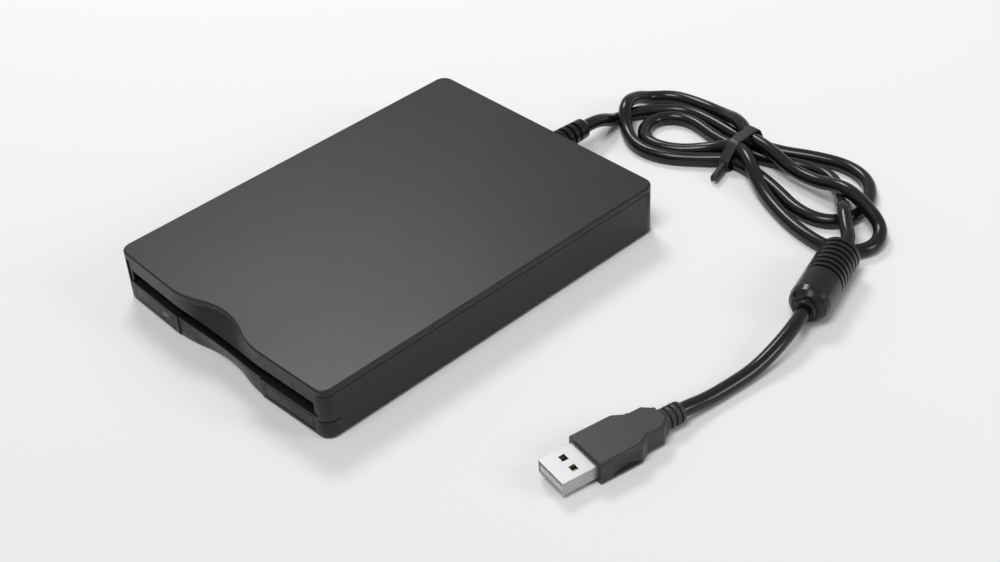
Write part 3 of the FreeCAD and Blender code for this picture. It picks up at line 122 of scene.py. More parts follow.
def capped_faces(rows: int, columns: int) -> np.ndarray:
    """Quads of a tube of rows rings of columns points, with a fan of triangles on each end.

    The fans' centres are the two points after the rings, the first ring's and then the last ring's.

    Args:
        rows: number of rings.
        columns: number of points in a ring.

    Returns:
        (n, 4) corner indices, in which a triangle repeats its last corner.
    """
    side = np.arange(columns)
    after = (side + 1) % columns
    last = (rows - 1) * columns
    centre = np.full(columns, rows * columns)
    start_fan = np.stack([centre, after, side, side], -1)
    end_fan = np.stack([centre + 1, last + side, last + after, last + after], -1)
    return np.vstack([grid_faces(rows, columns, False, True), start_fan, end_fan])


def full_turn(steps: int) -> np.ndarray:
    """Angles all the way round, evenly apart, of which the first isn't repeated at the end."""
    return np.linspace(0, 2 * math.pi, steps, endpoint=False)


def swept_tube(path: np.ndarray, radius: float, sides: int) -> Tube:
    """A round tube along a path: each point plus radius times a turning normal, with a fan at each end.

    The normal is carried along the path by parallel transport, so the tube doesn't twist. It starts
    level, or across X where the path starts steeply.

    Args:
        path: (n, 3) centre points.
        radius: the tube's radius.
        sides: points round the tube.

    Returns:
        The points and the faces, as capped_faces gives them.
    """
    tangent = np.gradient(path, axis=0)
    tangent /= np.linalg.norm(tangent, axis=1)[:, None]
    helper = (0.0, 0.0, 1.0) if abs(tangent[0, 2]) < STEEP else (1.0, 0.0, 0.0)
    normal = np.empty_like(path)
    normal[0] = np.cross(helper, tangent[0])
    for k in range(1, len(path)):
        normal[k] = normal[k - 1] - tangent[k] * (normal[k - 1] @ tangent[k])
    normal /= np.linalg.norm(normal, axis=1)[:, None]
    second = np.cross(tangent, normal)
    angle = full_turn(sides)[None, :, None]
    rings = path[:, None] + radius * (normal[:, None] * np.cos(angle) + second[:, None] * np.sin(angle))
    verts = np.vstack([rings.reshape(-1, 3), path[:1], path[-1:]])
    return verts, capped_faces(len(path), sides)


def as_faces(quads: np.ndarray) -> list[list[int]]:
    """Quads as lists, with the repeated corner of a triangle dropped."""
    return [list(dict.fromkeys(quad)) for quad in quads.tolist()]


def tubes_object(name: str, tubes: list[Tube]) -> bpy.types.Object:
    """Makes one smooth piece of several swept tubes.

    Args:
        name: the piece's name.
        tubes: what swept_tube gave for each.

    Returns:
        The linked object.
    """
    verts = np.vstack([points for points, _ in tubes])
    faces: list[list[int]] = []
    first = 0
    for points, quads in tubes:
        faces += as_faces(quads + first)
        first += len(points)
    return mesh_object(name, verts, faces)


def helix(axis: int, centre: Place, length: float, radius: float, turns: float, steps: int) -> np.ndarray:
    """Points of a helix: at share t it is length * t along the axis, turned by t * turns full turns.

    Args:
        axis: 0, 1 or 2 for X, Y or Z.
        centre: the start of the helix's axis.
        length: its length along the axis.
        radius: its radius.
        turns: number of turns.
        steps: points per turn.

    Returns:
        (n, 3) points.
    """
    t = np.linspace(0, 1, int(turns * steps) + 1)
    points = np.empty((len(t), 3))
    first, second = [k for k in range(3) if k != axis]
    angle = 2 * math.pi * turns * t
    points[:, axis] = centre[axis] + length * t
    points[:, first] = centre[first] + radius * np.cos(angle)
    points[:, second] = centre[second] + radius * np.sin(angle)
    return points


def round_edges(piece: bpy.types.Object, width: float, segments: int) -> None:
    """Rounds a piece's edges where they turn by more than SHARP_ANGLE.

    Args:
        piece: the object.
        width: the round's width in metres.
        segments: number of faces across the round.
    """
    bevel = piece.modifiers.new("bevel", "BEVEL")
    bevel.width = width
    bevel.segments = segments
    bevel.limit_method = "ANGLE"
    bevel.angle_limit = SHARP_ANGLE


# --------------------------------------------------------------------------------------- shader groups


class Group:
    """A shader node group under construction, with short calls to add nodes and links."""

    def __init__(self, name: str, inputs: dict[str, float], outputs: dict[str, str]) -> None:
        """Makes the group and its sockets.

        Args:
            name: the group's name.
            inputs: float inputs with their defaults.
            outputs: output names with their socket types.
        """
        self.tree = bpy.data.node_groups.new(name, "ShaderNodeTree")
        sockets = self.tree.interface
        for label, value in inputs.items():
            socket = sockets.new_socket(name=label, in_out="INPUT", socket_type="NodeSocketFloat")
            socket.default_value = value
        for label, kind in outputs.items():
            sockets.new_socket(name=label, in_out="OUTPUT", socket_type=kind)
        self.source = self.add("NodeGroupInput")
        self.sink = self.add("NodeGroupOutput")

    def add(self, kind: str, **settings: object) -> bpy.types.Node:
        """Adds a node.

        Args:
            kind: the node's type.
            settings: attributes that it gets.

        Returns:
            The node.
        """
        node = self.tree.nodes.new(kind)
        for key, value in settings.items():
            setattr(node, key, value)
        return node

    def link(self, out: bpy.types.NodeSocket, into: bpy.types.NodeSocket) -> None:
        """Links two sockets."""
        self.tree.links.new(out, into)

    def noise(
            self, vector: bpy.types.NodeSocket, scale: float, detail: float) -> bpy.types.NodeSocket:
        """Adds a noise texture.

        Args:
            vector: where it is read.
            scale: cells to a metre, or to a unit of a scaled vector.
            detail: how many finer noises are laid over the first.

        Returns:
            Its value.
        """
        node = self.add("ShaderNodeTexNoise")
        node.inputs["Scale"].default_value = scale
        node.inputs["Detail"].default_value = detail
        self.link(vector, node.inputs["Vector"])
        return node.outputs["Fac"]

    def times(self, value: bpy.types.NodeSocket, factor: float) -> bpy.types.NodeSocket:
        """Adds a node that multiplies a value by a number.

        Args:
            value: the value.
            factor: the number.

        Returns:
            The product.
        """
        node = self.add("ShaderNodeMath", operation="MULTIPLY")
        self.link(value, node.inputs[0])
        node.inputs[1].default_value = factor
        return node.outputs[0]

    def plus(self, first: bpy.types.NodeSocket, second: bpy.types.NodeSocket) -> bpy.types.NodeSocket:
        """Adds a node that adds two values.

        Args:
            first: one value.
            second: the other.

        Returns:
            The sum.
        """
        node = self.add("ShaderNodeMath", operation="ADD")
        self.link(first, node.inputs[0])
        self.link(second, node.inputs[1])
        return node.outputs[0]

    def scaled(self, vector: bpy.types.NodeSocket) -> bpy.types.NodeSocket:
        """Adds a node that multiplies a vector by the group's Scale input.

        Args:
            vector: the vector.

        Returns:
            The longer vector.
        """
        node = self.add("ShaderNodeVectorMath", operation="SCALE")
        self.link(vector, node.inputs[0])
        self.link(self.source.outputs["Scale"], node.inputs["Scale"])
        return node.outputs[0]


class Surface(Enum):
    """Which shared effect a finish takes its relief from."""

    GRAIN = "moulded_grain"
    BRUSHED = "brushed_metal"


RELIEF_OUTPUTS = {"Height": "NodeSocketFloat", "Mottle": "NodeSocketFloat"}
FINE_SHARE = 0.7
COARSE_SHARE = 0.3
COARSE_SCALE = 0.33
GRAIN_MOTTLE_SCALE = 38.0
BRUSH_STRETCH = (1.0, 0.016, 1.0)
BRUSH_MOTTLE_SCALE = 60.0


def grain_group() -> None:
    """Makes the spark-eroded grain of moulded plastic: fine cells over a coarser ripple, and a mottle.

    Height is a fine noise and one at a third of its scale, each times its share. Mottle is a slow noise.
    """
    made = Group(Surface.GRAIN.value, {"Scale": 2600.0}, RELIEF_OUTPUTS)
    place = made.add("ShaderNodeTexCoord").outputs["Object"]
    cells = made.scaled(place)
    fine = made.times(made.noise(cells, scale=1.0, detail=2.0), FINE_SHARE)
    coarse = made.times(made.noise(cells, COARSE_SCALE, detail=1.0), COARSE_SHARE)
    made.link(made.plus(fine, coarse), made.sink.inputs["Height"])
    made.link(made.noise(place, GRAIN_MOTTLE_SCALE, detail=3.0), made.sink.inputs["Mottle"])


def brushed_group() -> None:
    """Makes rolled or drawn metal.

    Height is a noise stretched about 60 times along Y, and Mottle is a slow cloud.
    """
    made = Group(Surface.BRUSHED.value, {"Scale": 900.0}, RELIEF_OUTPUTS)
    place = made.add("ShaderNodeTexCoord").outputs["Object"]
    stretch = made.add("ShaderNodeVectorMath", operation="MULTIPLY")
    stretch.inputs[1].default_value = BRUSH_STRETCH
    made.link(place, stretch.inputs[0])
    streaks = made.scaled(stretch.outputs[0])
    made.link(made.noise(streaks, scale=1.0, detail=3.0), made.sink.inputs["Height"])
    made.link(made.noise(place, BRUSH_MOTTLE_SCALE, detail=3.0), made.sink.inputs["Mottle"])


# -------------------------------------------------------------------------------------------- finishes


@dataclass(frozen=True)
class Finish:
    """A finish: base colour with a slow mottle, roughness range, and the relief of a shared group.

    Colour is linear. Relief is the bump's distance in metres, and strength its strength. Mottle is the
    share by which the colour swings, and rough_swing the amount by which the roughness does.
    """

    slot: str
    colour: tuple[float, float, float]
    roughness: float
    metallic: float = 0.0
    surface: Surface = Surface.GRAIN
    scale: float = 2600.0
    relief: float = 0.00002
    strength: float = 0.25
    mottle: float = 0.08
    rough_swing: float = 0.06
    specular: float = 0.5

    def material(self) -> bpy.types.Material:
        """Builds the material, or returns it where it is already made.

        Base colour goes from the colour less its mottle to the colour plus it, and roughness likewise
        with rough_swing, both with the group's slow noise. The group's height feeds a bump.

        Returns:
            The material.
        """
        name = f"{self.slot}_finish"
        found = bpy.data.materials.get(name)
        if found:
            return found
        made = bpy.data.materials.new(name)
        made.use_nodes = True
        tree = made.node_tree
        shader = tree.nodes["Principled BSDF"]
        shader.inputs["Metallic"].default_value = self.metallic
        shader.inputs["Specular IOR Level"].default_value = self.specular
        effect = tree.nodes.new("ShaderNodeGroup")
        effect.node_tree = bpy.data.node_groups[self.surface.value]
        effect.inputs["Scale"].default_value = self.scale
        tint = tree.nodes.new("ShaderNodeMix")
        tint.data_type = "RGBA"
        tint.inputs["A"].default_value = (*(c * (1 - self.mottle) for c in self.colour), 1)
        tint.inputs["B"].default_value = (*(c * (1 + self.mottle) for c in self.colour), 1)
        tree.links.new(effect.outputs["Mottle"], tint.inputs["Factor"])
        tree.links.new(tint.outputs["Result"], shader.inputs["Base Color"])
        rough = tree.nodes.new("ShaderNodeMapRange")
        rough.inputs["To Min"].default_value = self.roughness - self.rough_swing
        rough.inputs["To Max"].default_value = self.roughness + self.rough_swing
        tree.links.new(effect.outputs["Mottle"], rough.inputs["Value"])
        tree.links.new(rough.outputs["Result"], shader.inputs["Roughness"])
        bump = tree.nodes.new("ShaderNodeBump")
        bump.inputs["Strength"].default_value = self.strength
        bump.inputs["Distance"].default_value = self.relief
        tree.links.new(effect.outputs["Height"], bump.inputs["Height"])
        tree.links.new(bump.outputs["Normal"], shader.inputs["Normal"])
        return made

    def dress(self, piece: bpy.types.Object) -> None:
        """Gives the finish to a piece in place of what it has."""
        piece.data.materials.clear()
        piece.data.materials.append(self.material())


HOUSING = Finish("housing_plastic", (0.010, 0.010, 0.0106), 0.37,
                 scale=4600.0, relief=0.000035, strength=0.9, specular=0.34)
LENS = Finish("lens", (0.10, 0.14, 0.10), 0.15, relief=0.00001, strength=0.05, mottle=0.03)
LAMP = Finish("lamp", (0.12, 0.36, 0.10), 0.3, strength=0.05)
FEET = Finish("foot_rubber", (0.02, 0.02, 0.021), 0.78, scale=1800.0)
SCREWS = Finish("screw_steel", (0.05, 0.05, 0.055), 0.38, 1.0, Surface.BRUSHED)
SHEET = Finish("sheet_steel", (0.46, 0.47, 0.48), 0.42, 1.0, Surface.BRUSHED)
BRIGHT = Finish("bright_steel", (0.6, 0.6, 0.61), 0.22, 1.0, Surface.BRUSHED, scale=2000.0)
ROTOR = Finish("rotor_steel", (0.38, 0.38, 0.4), 0.4, 1.0, Surface.BRUSHED)
MAGNET = Finish("magnet", (0.07, 0.07, 0.075), 0.55, 0.6, strength=0.2)
BRONZE = Finish("bearing_metal", (0.46, 0.3, 0.12), 0.42, 1.0, strength=0.3)
COPPER = Finish("coil_copper", (0.5, 0.17, 0.06), 0.3, 0.9, Surface.BRUSHED, scale=5000.0)
BOARD = Finish("board", (0.02, 0.12, 0.05), 0.32, scale=900.0, strength=0.1, mottle=0.16)
CHIPS = Finish("chip_plastic", (0.018, 0.018, 0.019), 0.5)
SLED = Finish("carriage_plastic", (0.03, 0.03, 0.032), 0.52)
CERAMIC = Finish("head_ceramic", (0.5, 0.46, 0.36), 0.18, strength=0.05)
WHITE = Finish("white_plastic", (0.72, 0.72, 0.69), 0.42)
FILM = Finish("cable_film", (0.62, 0.62, 0.58), 0.3, strength=0.08)
WIRE = Finish("wire", (0.05, 0.05, 0.05), 0.4)
JACKET = Finish("cord_jacket", (0.006, 0.006, 0.0065), 0.2,
                scale=1400.0, strength=0.12, rough_swing=0.05, specular=0.34)
TIE = Finish("tie", (0.016, 0.016, 0.017), 0.42, strength=0.2)
FERRITE = Finish("ferrite_skin", (0.008, 0.008, 0.0085), 0.24, scale=1800.0, strength=0.12, specular=0.36)
GRIP = Finish("plug_plastic", (0.026, 0.026, 0.027), 0.43,
              scale=5000.0, relief=0.00003, strength=0.8, specular=0.42)
SHELL = Finish("plug_steel", (0.46, 0.46, 0.47), 0.46, 1.0, Surface.BRUSHED, scale=1500.0, strength=0.1)
TONGUE = Finish("tongue_plastic", (0.6, 0.6, 0.58), 0.4)
GOLD = Finish("contact_gold", (0.72, 0.5, 0.18), 0.2, 1.0, Surface.BRUSHED)

FINISHES = (
    HOUSING, LENS, LAMP, FEET, SCREWS, SHEET, BRIGHT, ROTOR, MAGNET, BRONZE, COPPER, BOARD, CHIPS,
    SLED, CERAMIC, WHITE, FILM, WIRE, JACKET, TIE, FERRITE, GRIP, SHELL, TONGUE, GOLD)
BY_SLOT: dict[str, Finish] = {finish.slot: finish for finish in FINISHES}


def finish_piece(
        piece: bpy.types.Object, body: str | None, finish: Finish, *nodes: str) -> bpy.types.Object:
    """Dresses a new piece, seats it on its body and lets it stand for its CAD nodes.

    Args:
        piece: the new object.
        body: the CAD body that it rides, or None to leave it on no body.
        finish: its finish, whose name is the record's material slot.
        nodes: CAD nodes that it replaces.

    Returns:
        The piece.
    """
    finish.dress(piece)
    if body:
        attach(piece, body)
    if nodes:
        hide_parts(*nodes)
    log.info("made %s on %s", piece.name, body or "two bodies")
    return piece


# ---------------------------------------------------------------------------------------- camera, room


@dataclass(frozen=True)
class Softbox:
    """A soft rectangular lamp: its name, place, width and height in metres, and power in watts."""

    name: str
    place: Place
    size: tuple[float, float]
    watts: float


@dataclass
class Studio:
    """The camera, the lamps, the world and the floor.

    The fitted viewpoint is azimuth, elevation and roll in degrees, distance in metres and focal length in
    pixels of a frame that is frame_px wide.
    """

    azimuth: float = 52.70
    elevation: float = 36.26
    roll: float = -6.25
    distance: float = 0.555
    focal_px: float = 558.0
    enlarge: float = 3.0
    aim_px: tuple[float, float] = (36.0, 14.0)
    frame_px: float = 1000.0
    sensor_mm: float = 36.0
    clip: tuple[float, float] = (0.01, 20.0)
    sheen: Softbox = Softbox("sheen", (-0.51, 0.30, 0.76), (0.3, 0.24), 3.1)
    side: Softbox = Softbox("side", (0.9, 0.45, 0.5), (0.25, 0.4), 2.0)
    key_from: Place = (0.1, -0.5, 1.2)
    key_spread: float = 0.45
    key_strength: float = 1.55
    world_strength: float = 0.24
    background: float = 0.5
    floor_size: float = 3.0
    floor_drop: float = 0.05 * MM
    floor_colour: tuple[float, float, float] = (0.86, 0.86, 0.86)
    floor_roughness: float = 0.9

    def camera(self) -> None:
        """Places the camera at the fitted viewpoint and turns it to centre the object and its cord.

        The viewing direction is turned by aim_px at the fitted focal length, and the lens is enlarge
        times as long.
        """
        angles = (self.azimuth, self.elevation, self.roll)
        azimuth, elevation, roll = (math.radians(angle) for angle in angles)
        reach = math.cos(elevation)
        back = Vector((math.sin(azimuth) * reach, -math.cos(azimuth) * reach, math.sin(elevation)))
        level = Vector((0, 0, 1)).cross(back).normalized()
        up = back.cross(level)
        right = level * math.cos(roll) + up * math.sin(roll)
        up = back.cross(right)
        place = Vector((0, 0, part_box("top_cover")[1].z / 2)) + back * self.distance
        across, down = (px / self.focal_px for px in self.aim_px)
        back = -(-back + right * across - up * down).normalized()
        right = up.cross(back).normalized()
        up = back.cross(right)
        data = bpy.data.cameras.new("camera")
        data.sensor_width = self.sensor_mm
        data.lens = self.sensor_mm * self.focal_px * self.enlarge / self.frame_px
        data.clip_start, data.clip_end = self.clip
        camera = bpy.data.objects.new("camera", data)
        turn = Matrix((right, up, back)).transposed().to_4x4()
        camera.matrix_world = Matrix.Translation(place) @ turn
        bpy.context.scene.collection.objects.link(camera)
        bpy.context.scene.camera = camera

    def hang(self, data: bpy.types.Light, place: Place) -> None:
        """Hangs a light at a place and turns it towards the origin.

        Args:
            data: the light.
            place: its place in metres, which for a sun is only the direction that it shines from.
        """
        made = bpy.data.objects.new(data.name, data)
        made.location = place
        made.rotation_mode = "QUATERNION"
        made.rotation_quaternion = Vector(place).to_track_quat("Z", "Y")
        bpy.context.scene.collection.objects.link(made)

    def softbox(self, box: Softbox) -> None:
        """Adds a soft rectangular lamp.

        Args:
            box: what it is like.
        """
        data = bpy.data.lights.new(box.name, "AREA")
        data.shape = "RECTANGLE"
        data.size, data.size_y = box.size
        data.energy = box.watts
        self.hang(data, box.place)

    def sun(self) -> None:
        """Adds the even key light, a wide soft sun that lights the whole floor alike."""
        data = bpy.data.lights.new("key", "SUN")
        data.angle = self.key_spread
        data.energy = self.key_strength
        self.hang(data, self.key_from)

    def world(self) -> None:
        """Sets an even world light, which the camera, gloss and glass see as a pale background."""
        world = bpy.data.worlds.new("world")
        world.use_nodes = True
        tree = world.node_tree
        shade = tree.nodes["Background"]
        shade.inputs["Color"].default_value = (1, 1, 1, 1)
        seen = tree.nodes.new("ShaderNodeLightPath")
        strength = tree.nodes.new("ShaderNodeMapRange")
        strength.inputs["To Min"].default_value = self.world_strength
        strength.inputs["To Max"].default_value = self.background
        rays = seen.outputs["Is Camera Ray"]
        for kind in ("Is Glossy Ray", "Is Transmission Ray"):
            joined = tree.nodes.new("ShaderNodeMath")
            joined.operation = "MAXIMUM"
            tree.links.new(rays, joined.inputs[0])
            tree.links.new(seen.outputs[kind], joined.inputs[1])
            rays = joined.outputs[0]
        tree.links.new(rays, strength.inputs["Value"])
        tree.links.new(strength.outputs["Result"], shade.inputs["Strength"])
        bpy.context.scene.world = world

    def floor(self) -> None:
        """Lays the pale floor, whose edge lies far outside the view."""
        corners = np.array([(-1, -1, 0), (1, -1, 0), (1, 1, 0), (-1, 1, 0)]) * self.floor_size / 2
        corners[:, 2] = -self.floor_drop
        made = mesh_object("floor", corners, [[0, 1, 2, 3]], False)
        material = bpy.data.materials.new("floor")
        material.use_nodes = True
        shader = material.node_tree.nodes["Principled BSDF"]
        shader.inputs["Base Color"].default_value = (*self.floor_colour, 1)
        shader.inputs["Roughness"].default_value = self.floor_roughness
        made.data.materials.append(material)

    def build(self) -> None:
        """Makes the whole room."""
        bpy.context.scene.view_settings.view_transform = "Standard"
        self.camera()
        self.softbox(self.sheen)
        self.sun()
        self.softbox(self.side)
        self.world()
        self.floor()


# ------------------------------------------------------------------------------------------------ cord


@dataclass
class Cord:
    """The cord from its boot through the tied hank and the ferrite core to the plug.

    Its route is a list of control points for each stretch, in millimetres.
    """

    diameter: float = 4.8 * MM
    exit_y: float = 72.5 * MM
    exit_z: float = 9.0 * MM
    spline_steps: int = 10
    bevel_steps: int = 6
    tie_x: float = 46.75 * MM
    tie_width: float = 4.2 * MM
    tie_thick: float = 0.5 * MM
    tie_slack: float = 0.03 * MM
    tie_powers: tuple[float, float] = (0.4, 0.6)
    twist_overlap: float = 0.4 * MM
    twist_length: float = 8.6 * MM
    twist_drift: float = 2.5 * MM
    twist_height: float = 2.2 * MM
    twist_radius: float = 0.75 * MM
    twist_wire: float = 0.7 * MM
    twist_turns: float = 3.2
    lead: tuple[Place, ...] = (
        (0, 72.5, 9), (0, 84, 9), (0, 96, 9), (-0.8, 103, 6.6), (-1.9, 110, 2.4), (-0.9, 117, 2.4),
        (4.9, 125.1, 2.4), (13.4, 132.7, 2.4), (26.7, 132.9, 2.4), (38, 131.3, 2.4))
    first_right: tuple[Place, ...] = (
        (46.8, 130.8, 3.2), (56, 133.4, 2.4), (67, 139, 2.4), (79, 142.6, 2.4), (90, 139.8, 2.4),
        (97.5, 130.5, 2.4), (99.5, 118.5, 2.4), (93.9, 110.5, 2.4), (83, 109.3, 2.4), (70, 114.3, 2.4),
        (58, 117.6, 2.4))
    first_left: tuple[Place, ...] = (
        (46.8, 118.2, 3.2), (38.1, 111.3, 2.4), (28.2, 104.1, 2.4), (17.1, 101.9, 2.4), (6, 106.9, 3),
        (-0.7, 114, 8.2), (-3.4, 123, 5.8), (-2.6, 130.5, 2.4), (3.5, 137, 2.4), (14, 139, 2.4),
        (26.1, 138.3, 3.4), (37.1, 133.6, 7.8))
    second_right: tuple[Place, ...] = (
        (46.7, 127.7, 7.7), (57.1, 126.2, 7.8), (68, 124.6, 4.9), (80, 124, 5.3), (91.1, 123.7, 9),
        (101.2, 122, 7), (110, 119.3, 3.9), (113.9, 111.9, 2.5), (111.6, 103.9, 2.4),
        (103.6, 99.4, 2.4), (90, 100.8, 2.4), (77, 105.4, 2.4), (66, 110.2, 3.9), (56, 116.3, 7.9))
    second_left: tuple[Place, ...] = (
        (46.7, 121.3, 7.5), (37.8, 117.9, 3.7), (29.1, 110.4, 2.4), (18.8, 106.6, 2.4),
        (10.9, 110.6, 2.4), (8.3, 118.4, 2.4), (11.9, 125.7, 2.4), (20.1, 128.7, 2.4), (34, 125.3, 2.4))
    strand: tuple[Place, ...] = (
        (46.7, 124.5, 3.3), (57.9, 127.6, 2.4), (68, 132.4, 2.4), (78, 133.6, 2.4), (87.5, 127.9, 2.4),
        (92.5, 120.5, 3.7), (98.1, 113.6, 9.5), (104.6, 106.7, 7.7), (108.6, 102.8, 7.4),
        (110.2, 98.2, 6.9))
    tail: tuple[Place, ...] = (
        (110.86, 96, 6.75), (115.8, 79.75, 6.75), (120.8, 63.5, 6.75), (123, 55.5, 6.5), (124.2, 46, 5),
        (124.2, 36, 2.8), (123.3, 26, 2.4), (122.2, 16, 2.6), (121.1, 8, 4), (120.8, 5.6, 4))

    def route(self) -> np.ndarray:
        """Joins the stretches.

        Returns:
            (n, 3) control points of the whole cord, in metres.
        """
        stretches = (self.lead, self.first_right, self.first_left, self.second_right, self.second_left,
                     self.strand, self.tail)
        return np.vstack(stretches) * MM

    def curve(self) -> bpy.types.Object:
        """Makes the cord as one smooth spline whose control points are the route.

        Returns:
            The curve object.
        """
        data = bpy.data.curves.new("cord", "CURVE")
        data.dimensions = "3D"
        data.bevel_depth = self.diameter / 2
        data.bevel_resolution = self.bevel_steps
        data.use_fill_caps = True
        data.resolution_u = self.spline_steps
        data.render_resolution_u = self.spline_steps
        points = self.route()
        spline = data.splines.new("NURBS")
        spline.points.add(len(points) - 1)
        weighted = np.column_stack([points, np.ones(len(points))])
        spline.points.foreach_set("co", weighted.ravel())
        spline.use_smooth = True
        spline.order_u = 3
        spline.use_endpoint_u = True
        made = bpy.data.objects.new("cord", data)
        bpy.context.scene.collection.objects.link(made)
        return made

    def centreline(self) -> np.ndarray:
        """Reads the cord's centre line from the same spline with no bevel.

        Returns:
            (n, 3) points.
        """
        made = self.curve()
        made.data.bevel_depth = 0.0
        mesh = bpy.data.meshes.new_from_object(made)
        points = np.empty(len(mesh.vertices) * 3)
        mesh.vertices.foreach_get("co", points)
        data = made.data
        bpy.data.objects.remove(made)
        bpy.data.curves.remove(data)
        bpy.data.meshes.remove(mesh)
        return points.reshape(-1, 3)

    def tie_path(self, centres: np.ndarray) -> tuple[np.ndarray, np.ndarray]:
        """The closed line that the tie follows round the strands at the waist, seen along X.

        In each direction it is the strand centre that lies farthest that way, pushed out by the cord's
        radius, half the tie's thickness and a slack.

        Args:
            centres: (n, 3) points of the cord's centre line.

        Returns:
            (m, 2) points in Y and Z, and the outward direction at each.
        """
        near = centres[np.abs(centres[:, 0] - self.tie_x) < self.tie_width / 2][:, 1:]
        angle = full_turn(120)
        out = np.stack([np.cos(angle), np.sin(angle)], -1)
        reach = (self.diameter + self.tie_thick) / 2 + self.tie_slack
        return near[np.argmax(near @ out.T, axis=0)] + out * reach, out

    def tie_band(self, path: np.ndarray, out: np.ndarray) -> bpy.types.Object:
        """The tie's band: a flat strip with rounded edges carried along the path round the strands.

        The strip's section is a superellipse: half its width times the cosine, and half its thickness
        times the sine, each raised to its own power with its sign kept.

        Args:
            path: (m, 2) points in Y and Z.
            out: the outward direction at each point.

        Returns:
            The band.
        """
        around = full_turn(12)
        cos, sin = np.cos(around), np.sin(around)
        across = self.tie_width / 2 * np.sign(cos) * np.abs(cos) ** self.tie_powers[0]
        lift = self.tie_thick / 2 * np.sign(sin) * np.abs(sin) ** self.tie_powers[1]
        verts = np.empty((len(path), len(around), 3))
        verts[..., 0] = self.tie_x + across[None]
        verts[..., 1:] = path[:, None] + out[:, None] * lift[None, :, None]
        faces = grid_faces(len(path), len(around), True, True)
        return mesh_object("cord_tie_band", verts.reshape(-1, 3), faces.tolist())

    def tie_twist(self, start: float) -> bpy.types.Object:
        """The tie's twisted end: two wires wound round each other, which lead out beside the hank.

        Each is a helix of twist_radius along -Y at twist_height, and the pair drifts sideways along X.

        Args:
            start: where it leaves the band, along Y.

        Returns:
            Both wires as one piece.
        """
        t = np.linspace(0, 1, 90)
        wires = []
        for phase in (0.0, math.pi):
            angle = 2 * math.pi * self.twist_turns * t + phase
            x = self.tie_x + self.twist_radius * np.cos(angle) + self.twist_drift * t
            y = start - self.twist_length * t
            z = self.twist_height + self.twist_radius * np.sin(angle)
            wires.append(swept_tube(np.stack([x, y, z], -1), self.twist_wire, sides=10))
        return tubes_object("cord_tie_twist", wires)

    def build(self) -> None:
        cord = self.curve()
        finish_piece(cord, "housing", JACKET, "cord_lead", "cord_hank", "cord_tail")
        points = self.centreline()
        path, out = self.tie_path(points)
        start = path[:, 0].min() + self.twist_overlap
        band = finish_piece(self.tie_band(path, out), "housing", TIE, "cord_tie")
        twist = finish_piece(self.tie_twist(start), "housing", TIE, "cord_tie")


# ------------------------------------------------------------------------------------------- mechanism


